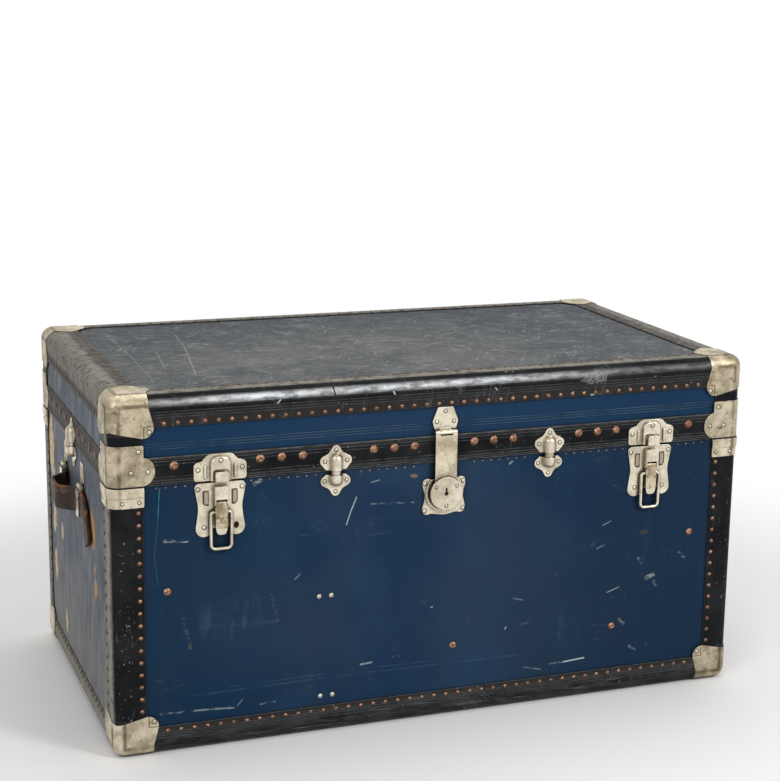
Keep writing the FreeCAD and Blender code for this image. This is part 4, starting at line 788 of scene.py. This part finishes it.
# Rows of tacks on the top: half length, and how far from the middle
TOP_LONG_ROWS = (385, 223.5)
TOP_SHORT_ROWS = (185, 414.6)
# Row of small tacks: half length, and how far under the parting
SMALL_TACK_ROW = (396, 4.5)


def tack_rows():
    """Copper tacks along the bindings: case and lid, all four walls and the top."""
    case, lid = bmesh.new(), bmesh.new()
    lowest, highest, count = POST_TACKS
    for walls, case_row, lid_row, post in WALL_TACKS:
        for out in walls:
            for mesh, (end, z) in ((case, case_row), (lid, lid_row)):
                for u in spread(end, TACK_PITCH):
                    add_dome(mesh, on_wall(out, u, z, 0), out, *TACK)
            for step in range(count):
                z = lowest + (highest - lowest) * step / (count - 1)
                for u in (-post, post):
                    add_dome(case, on_wall(out, u, z, 0), out, *TACK)
    end, drop = SMALL_TACK_ROW
    for out in (FRONT, BACK):
        for u in spread(end, SMALL_TACK_PITCH):
            if all(abs(abs(u) - middle) > reach for middle, reach in EDGE_PLATES):
                add_dome(case, on_wall(out, u, PARTING / MM - drop, -BOARD_FACE / MM), out, *SMALL_TACK)
    for side in (-1, 1):
        end, y = TOP_LONG_ROWS
        for x in spread(end, TACK_PITCH):
            add_dome(lid, Vector((x * MM, side * y * MM, TOP)), UP, *TACK)
        end, x = TOP_SHORT_ROWS
        for y in spread(end, TACK_PITCH):
            add_dome(lid, Vector((side * x * MM, y * MM, TOP)), UP, *TACK)
    new_object("case_tacks", case, [COPPER, GRIME_AND_SHADOW], "case")
    new_object("lid_tacks", lid, [COPPER, GRIME_AND_SHADOW], "lid")


def plate_rivets():
    """Small nickelled rivets that hold the plates."""
    case, lid, hasp = bmesh.new(), bmesh.new(), bmesh.new()
    parting = PARTING / MM
    case_level, lid_level, inset = CAP_RIVETS

    def rivets(mesh, out, middle, level, n, radius, places, side=1):
        """Rivets at places from a plate's middle and level, mirrored where side is -1."""
        for u, w in places:
            place = on_wall(out, middle + side * u, level + w, n)
            add_dome(mesh, place, out, radius, RIVET_HEIGHT, RIVET_DIRT_AND_SHADOW)

    for x in (-LATCH_X, LATCH_X):
        rivets(lid, FRONT, x, parting, 5.5, 2.6, [(0, 28)])
        rivets(lid, FRONT, x, parting, 1.5, 2.6, [(-29.5, 16), (29.5, 16)])
        places = [(-29.5, -10.5), (29.5, -10.5), (-21.5, -62), LOST_RIVET]
        rivets(case, FRONT, x, parting, -0.1, 2.6, places if x > 0 else places[:-1])
    rivets(lid, FRONT, 0, parting, 0.3, 2.3, [(0, 70), (-12.4, 55.5), (12.4, 55.5)])
    rivets(case, FRONT, 0, parting, -0.1, 2.6, [(-28, -29.4), (28, -29.4), (-28, -67.6), (28, -67.6)])
    rivets(hasp, FRONT, 0, parting - LOCK_DROP, 9.6, 1.9, [(-15, 10), (15, 10), (0, -17.4)])
    for out, middle in ((FRONT, -DOWEL_X), (FRONT, DOWEL_X), (LEFT, 0), (RIGHT, 0)):
        rivets(lid, out, middle, parting, 1.5, 2.2, [(-15.5, 13.5), (15.5, 13.5), (0, 28.6)])
        rivets(case, out, middle, parting - 0.4, -0.1, 2.2, [(-15.5, -13.5), (15.5, -13.5), (0, -28.6)])
    for out in (FRONT, BACK, LEFT, RIGHT):
        for side in (-1, 1):
            corner = side * (HALF_LENGTH if out in (FRONT, BACK) else HALF_DEPTH) / MM
            rivets(lid, out, corner, parting, 1.4, 2.6, [(-50, 19), (-28, 19), (-38, 46)], side)
            rivets(lid, out, corner, lid_level, 1.4, 2.6, [(-inset, 0)], side)
            rivets(case, out, corner, case_level, 1.4, 2.6, [(-inset, 0)], side)
            rivets(case, out, corner, parting - 20.5, 1.4, 2.0, [(-38, 0), (-16, 0)], side)
            if out in (LEFT, RIGHT):
                rivets(case, out, HANDLE_Y * side, HANDLE_Z, -0.1, 2.0, [(-6, 24), (6, 24), (0, 12)])
    for x in (-HINGE_X, 0, HINGE_X):
        rivets(lid, BACK, x, parting, 1.8, 2.6, [(-15, 14), (15, 14), (0, 26)])
        rivets(case, BACK, x, parting, 0.2, 2.6, [(-15, -16), (15, -16), (-11, -46), (11, -46)])
    for name, mesh, body in (("case_plate_rivets", case, "case"), ("lid_plate_rivets", lid, "lid"),
                             ("lock_face_rivets", hasp, "hasp")):
        new_object(name, mesh, [PLATE_METAL, GRIME_AND_SHADOW], body)


def rib(mesh, out, start, end, z, n):
    """A low half-round rib along a wall, its ends run out."""
    rings = []
    for u, share in ((start, 0.2), (start + 3, 1), (end - 3, 1), (end, 0.2)):
        rings.append([mesh.verts.new(on_wall(out, u, z + a * share, n + b * share)) for a, b in RIB_SECTION])
    for first, second in zip(rings, rings[1:]):
        for step in range(len(RIB_SECTION)):
            mesh.faces.new((first[step - 1], first[step], second[step], second[step - 1]))
    mesh.faces.new(rings[0])
    mesh.faces.new(rings[-1][::-1])


def rib_rows():
    """Ribs along the bindings' flanges and across the lid's front and back, clear of the hasp."""
    case, lid, panel = bmesh.new(), bmesh.new(), bmesh.new()
    for out in (FRONT, BACK):
        for rise in BINDING_RIBS:
            rib(case, out, -RIB_END, RIB_END, (BASE + rise) / MM, 0)
            rib(lid, out, -RIB_END, RIB_END, (TOP - rise) / MM, 0)
        runs = [(-PANEL_RIB_END, -HASP_GAP), (HASP_GAP, PANEL_RIB_END)]
        if out is BACK:
            runs = [(-PANEL_RIB_END, PANEL_RIB_END)]
        for level in LID_LINES:
            for start, end in runs:
                rib(panel, out, start, end, level / MM, -BOARD_FACE / MM)
    for name, mesh, material, body, slot in (("case_binding_ribs", case, BLACK, "case", "black_fibre"),
                                             ("lid_binding_ribs", lid, BLACK, "lid", "black_fibre"),
                                             ("lid_panel_ribs", panel, NAVY, "lid", "navy_fibre")):
        bmesh.ops.recalc_face_normals(mesh, faces=mesh.faces)
        new_object(name, mesh, [material], body)


def strap_path(top):
    """Stations of a strap with its upper edge at top: middle, way across and way out, as u, z and n."""
    middle = STRAP_GAP + STRAP_THICK / 2
    stations = []
    for step in range(57):
        u = STRAP_START + (STRAP_BEND - STRAP_START) * step / 56
        reach = max(0, min(1, (BOW_HALF - abs(u)) / BOW_RUN))
        rise = BOW_RISE * (3 * reach ** 2 - 2 * reach ** 3)
        lean = math.atan(BOW_RISE * 6 * reach * (1 - reach) / BOW_RUN * (1 if u < 0 else -1))
        stations.append(((u, top - STRAP_WIDTH / 2, middle + rise), (0, 1, 0),
                         (-math.sin(lean), 0, math.cos(lean))))
    arm = BEND_RADIUS + STRAP_WIDTH / 2
    for step in range(1, 13):
        angle = math.radians(BEND_ANGLE * step / 12)
        across = (math.sin(angle), math.cos(angle), 0)
        u = STRAP_BEND + across[0] * arm
        z = top - STRAP_WIDTH - BEND_RADIUS + across[1] * arm
        stations.append(((u, z, middle), across, (0, 0, 1)))
    for step in range(1, 9):
        run = TAIL * step / 8
        stations.append(((u + across[1] * run, z - across[0] * run, middle), across, (0, 0, 1)))
    return stations


def strap(side, name):
    """Leather handle strap with rounded edges: bowed between its loops, the front tail hanging."""
    stations = strap_path(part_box(f"handle_loops_{name}")[1].z / MM - STRAP_DROP)
    half_width, half_thick = STRAP_WIDTH / 2, STRAP_THICK / 2
    section = []
    for corner, (right, up) in enumerate(((1, 1), (-1, 1), (-1, -1), (1, -1))):
        for step in range(4):
            angle = math.radians(90 * corner + 30 * step)
            section.append((right * (half_width - STRAP_CURL) + STRAP_CURL * math.cos(angle),
                            up * (half_thick - STRAP_CURL) + STRAP_CURL * math.sin(angle)))
    mesh = bmesh.new()
    rings = []
    for index, (centre, across, out) in enumerate(stations):
        taper = 0.86 if index in (0, len(stations) - 1) else 1
        ring = []
        for a, b in section:
            crown = STRAP_CROWN * (1 - (a / half_width) ** 2) if b > 0 else 0
            u, w, n = (centre[i] + across[i] * a * taper + out[i] * (b * taper - STRAP_CROWN + crown)
                       for i in range(3))
            ring.append(mesh.verts.new((side * (HALF_LENGTH + n * MM), -u * MM, w * MM)))
        rings.append(ring)
    for first, second in zip(rings, rings[1:]):
        for i in range(len(section)):
            face = mesh.faces.new((first[i], second[i], second[i - 1], first[i - 1]))
            face.material_index = 1 if i % 8 < 4 else 0
    mesh.faces.new(rings[0])
    mesh.faces.new(rings[-1][::-1])
    mesh.normal_update()
    bmesh.ops.recalc_face_normals(mesh, faces=mesh.faces)
    piece = new_object(f"strap_leather_{name}", mesh, [LEATHER, LEATHER_EDGE], f"handle_{name}")
    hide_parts(f"handle_strap_{name}")


tack_rows()
plate_rivets()
rib_rows()
strap(-1, "left")
strap(1, "right")


def seen_rays(tree):
    """1 for camera, glossy and transmission rays."""
    path = tree.nodes.new("ShaderNodeLightPath").outputs
    shown = path["Is Camera Ray"]
    for kind in ("Is Glossy Ray", "Is Transmission Ray"):
        larger = tree.nodes.new("ShaderNodeMath")
        larger.operation = "MAXIMUM"
        tree.links.new(shown, larger.inputs[0])
        tree.links.new(path[kind], larger.inputs[1])
        shown = larger.outputs[0]
    return shown


def blend(tree, output, factor, first, second):
    """Sends first and second, mixed by factor, to the output node."""
    node = tree.nodes.new("ShaderNodeMixShader")
    for source, socket in zip((factor, first, second), node.inputs):
        tree.links.new(source, socket)
    tree.links.new(node.outputs[0], tree.nodes[output].inputs["Surface"])


def floor_material():
    """White floor: lit near the trunk so that it keeps the shadow, plain white for the camera far off."""
    shader = Shader("floor_white", Roughness=0.9)
    grain = shader.mix(shader.noise(3, 2, 0.5), (0.9, 0.9, 0.9), (0.92, 0.92, 0.92))
    shader.plug(shader.bsdf.inputs["Base Color"], grain)
    glow = shader.nodes.new("ShaderNodeEmission")
    far = shader.ramp(shader.vector("LENGTH", shader.place, output=1), 0.7, 1.3)
    tree = shader.material.node_tree
    shown = shader.times(far, seen_rays(tree))
    blend(tree, "Material Output", shown, shader.bsdf.outputs[0], glow.outputs[0])
    return shader.material


def stage():
    """Floor, world, lamps and camera."""
    mesh = bmesh.new()
    bmesh.ops.create_grid(mesh, x_segments=4, y_segments=4, size=FLOOR_REACH)
    floor = mesh_object("floor", mesh, [floor_material()])

    world = bpy.data.worlds.new("studio")
    scene.world = world
    world.use_nodes = True
    tree = world.node_tree
    ambient = tree.nodes["Background"]
    ambient.inputs["Color"].default_value = (1, 1, 1, 1)
    ambient.inputs["Strength"].default_value = AMBIENT
    white = tree.nodes.new("ShaderNodeBackground")
    white.inputs["Color"].default_value = (1, 1, 1, 1)
    blend(tree, "World Output", seen_rays(tree), ambient.outputs[0], white.outputs[0])

    for name, place, size, power in LAMPS:
        lamp = bpy.data.lights.new(name, "AREA")
        lamp.shape = "SQUARE"
        lamp.size = size
        lamp.energy = power
        holder = add_object(name, lamp)
        holder.location = place
        holder.rotation_euler = (LAMP_TARGET - holder.location).to_track_quat("-Z", "Y").to_euler()

    camera = bpy.data.cameras.new("camera")
    camera.lens = CAMERA_LENS
    camera.sensor_width = 36
    camera.sensor_fit = "HORIZONTAL"
    eye = add_object("camera", camera)
    eye.location = CAMERA_PLACE
    eye.rotation_euler = CAMERA_TURN
    scene.camera = eye
    scene.view_settings.view_transform = "Standard"


stage()
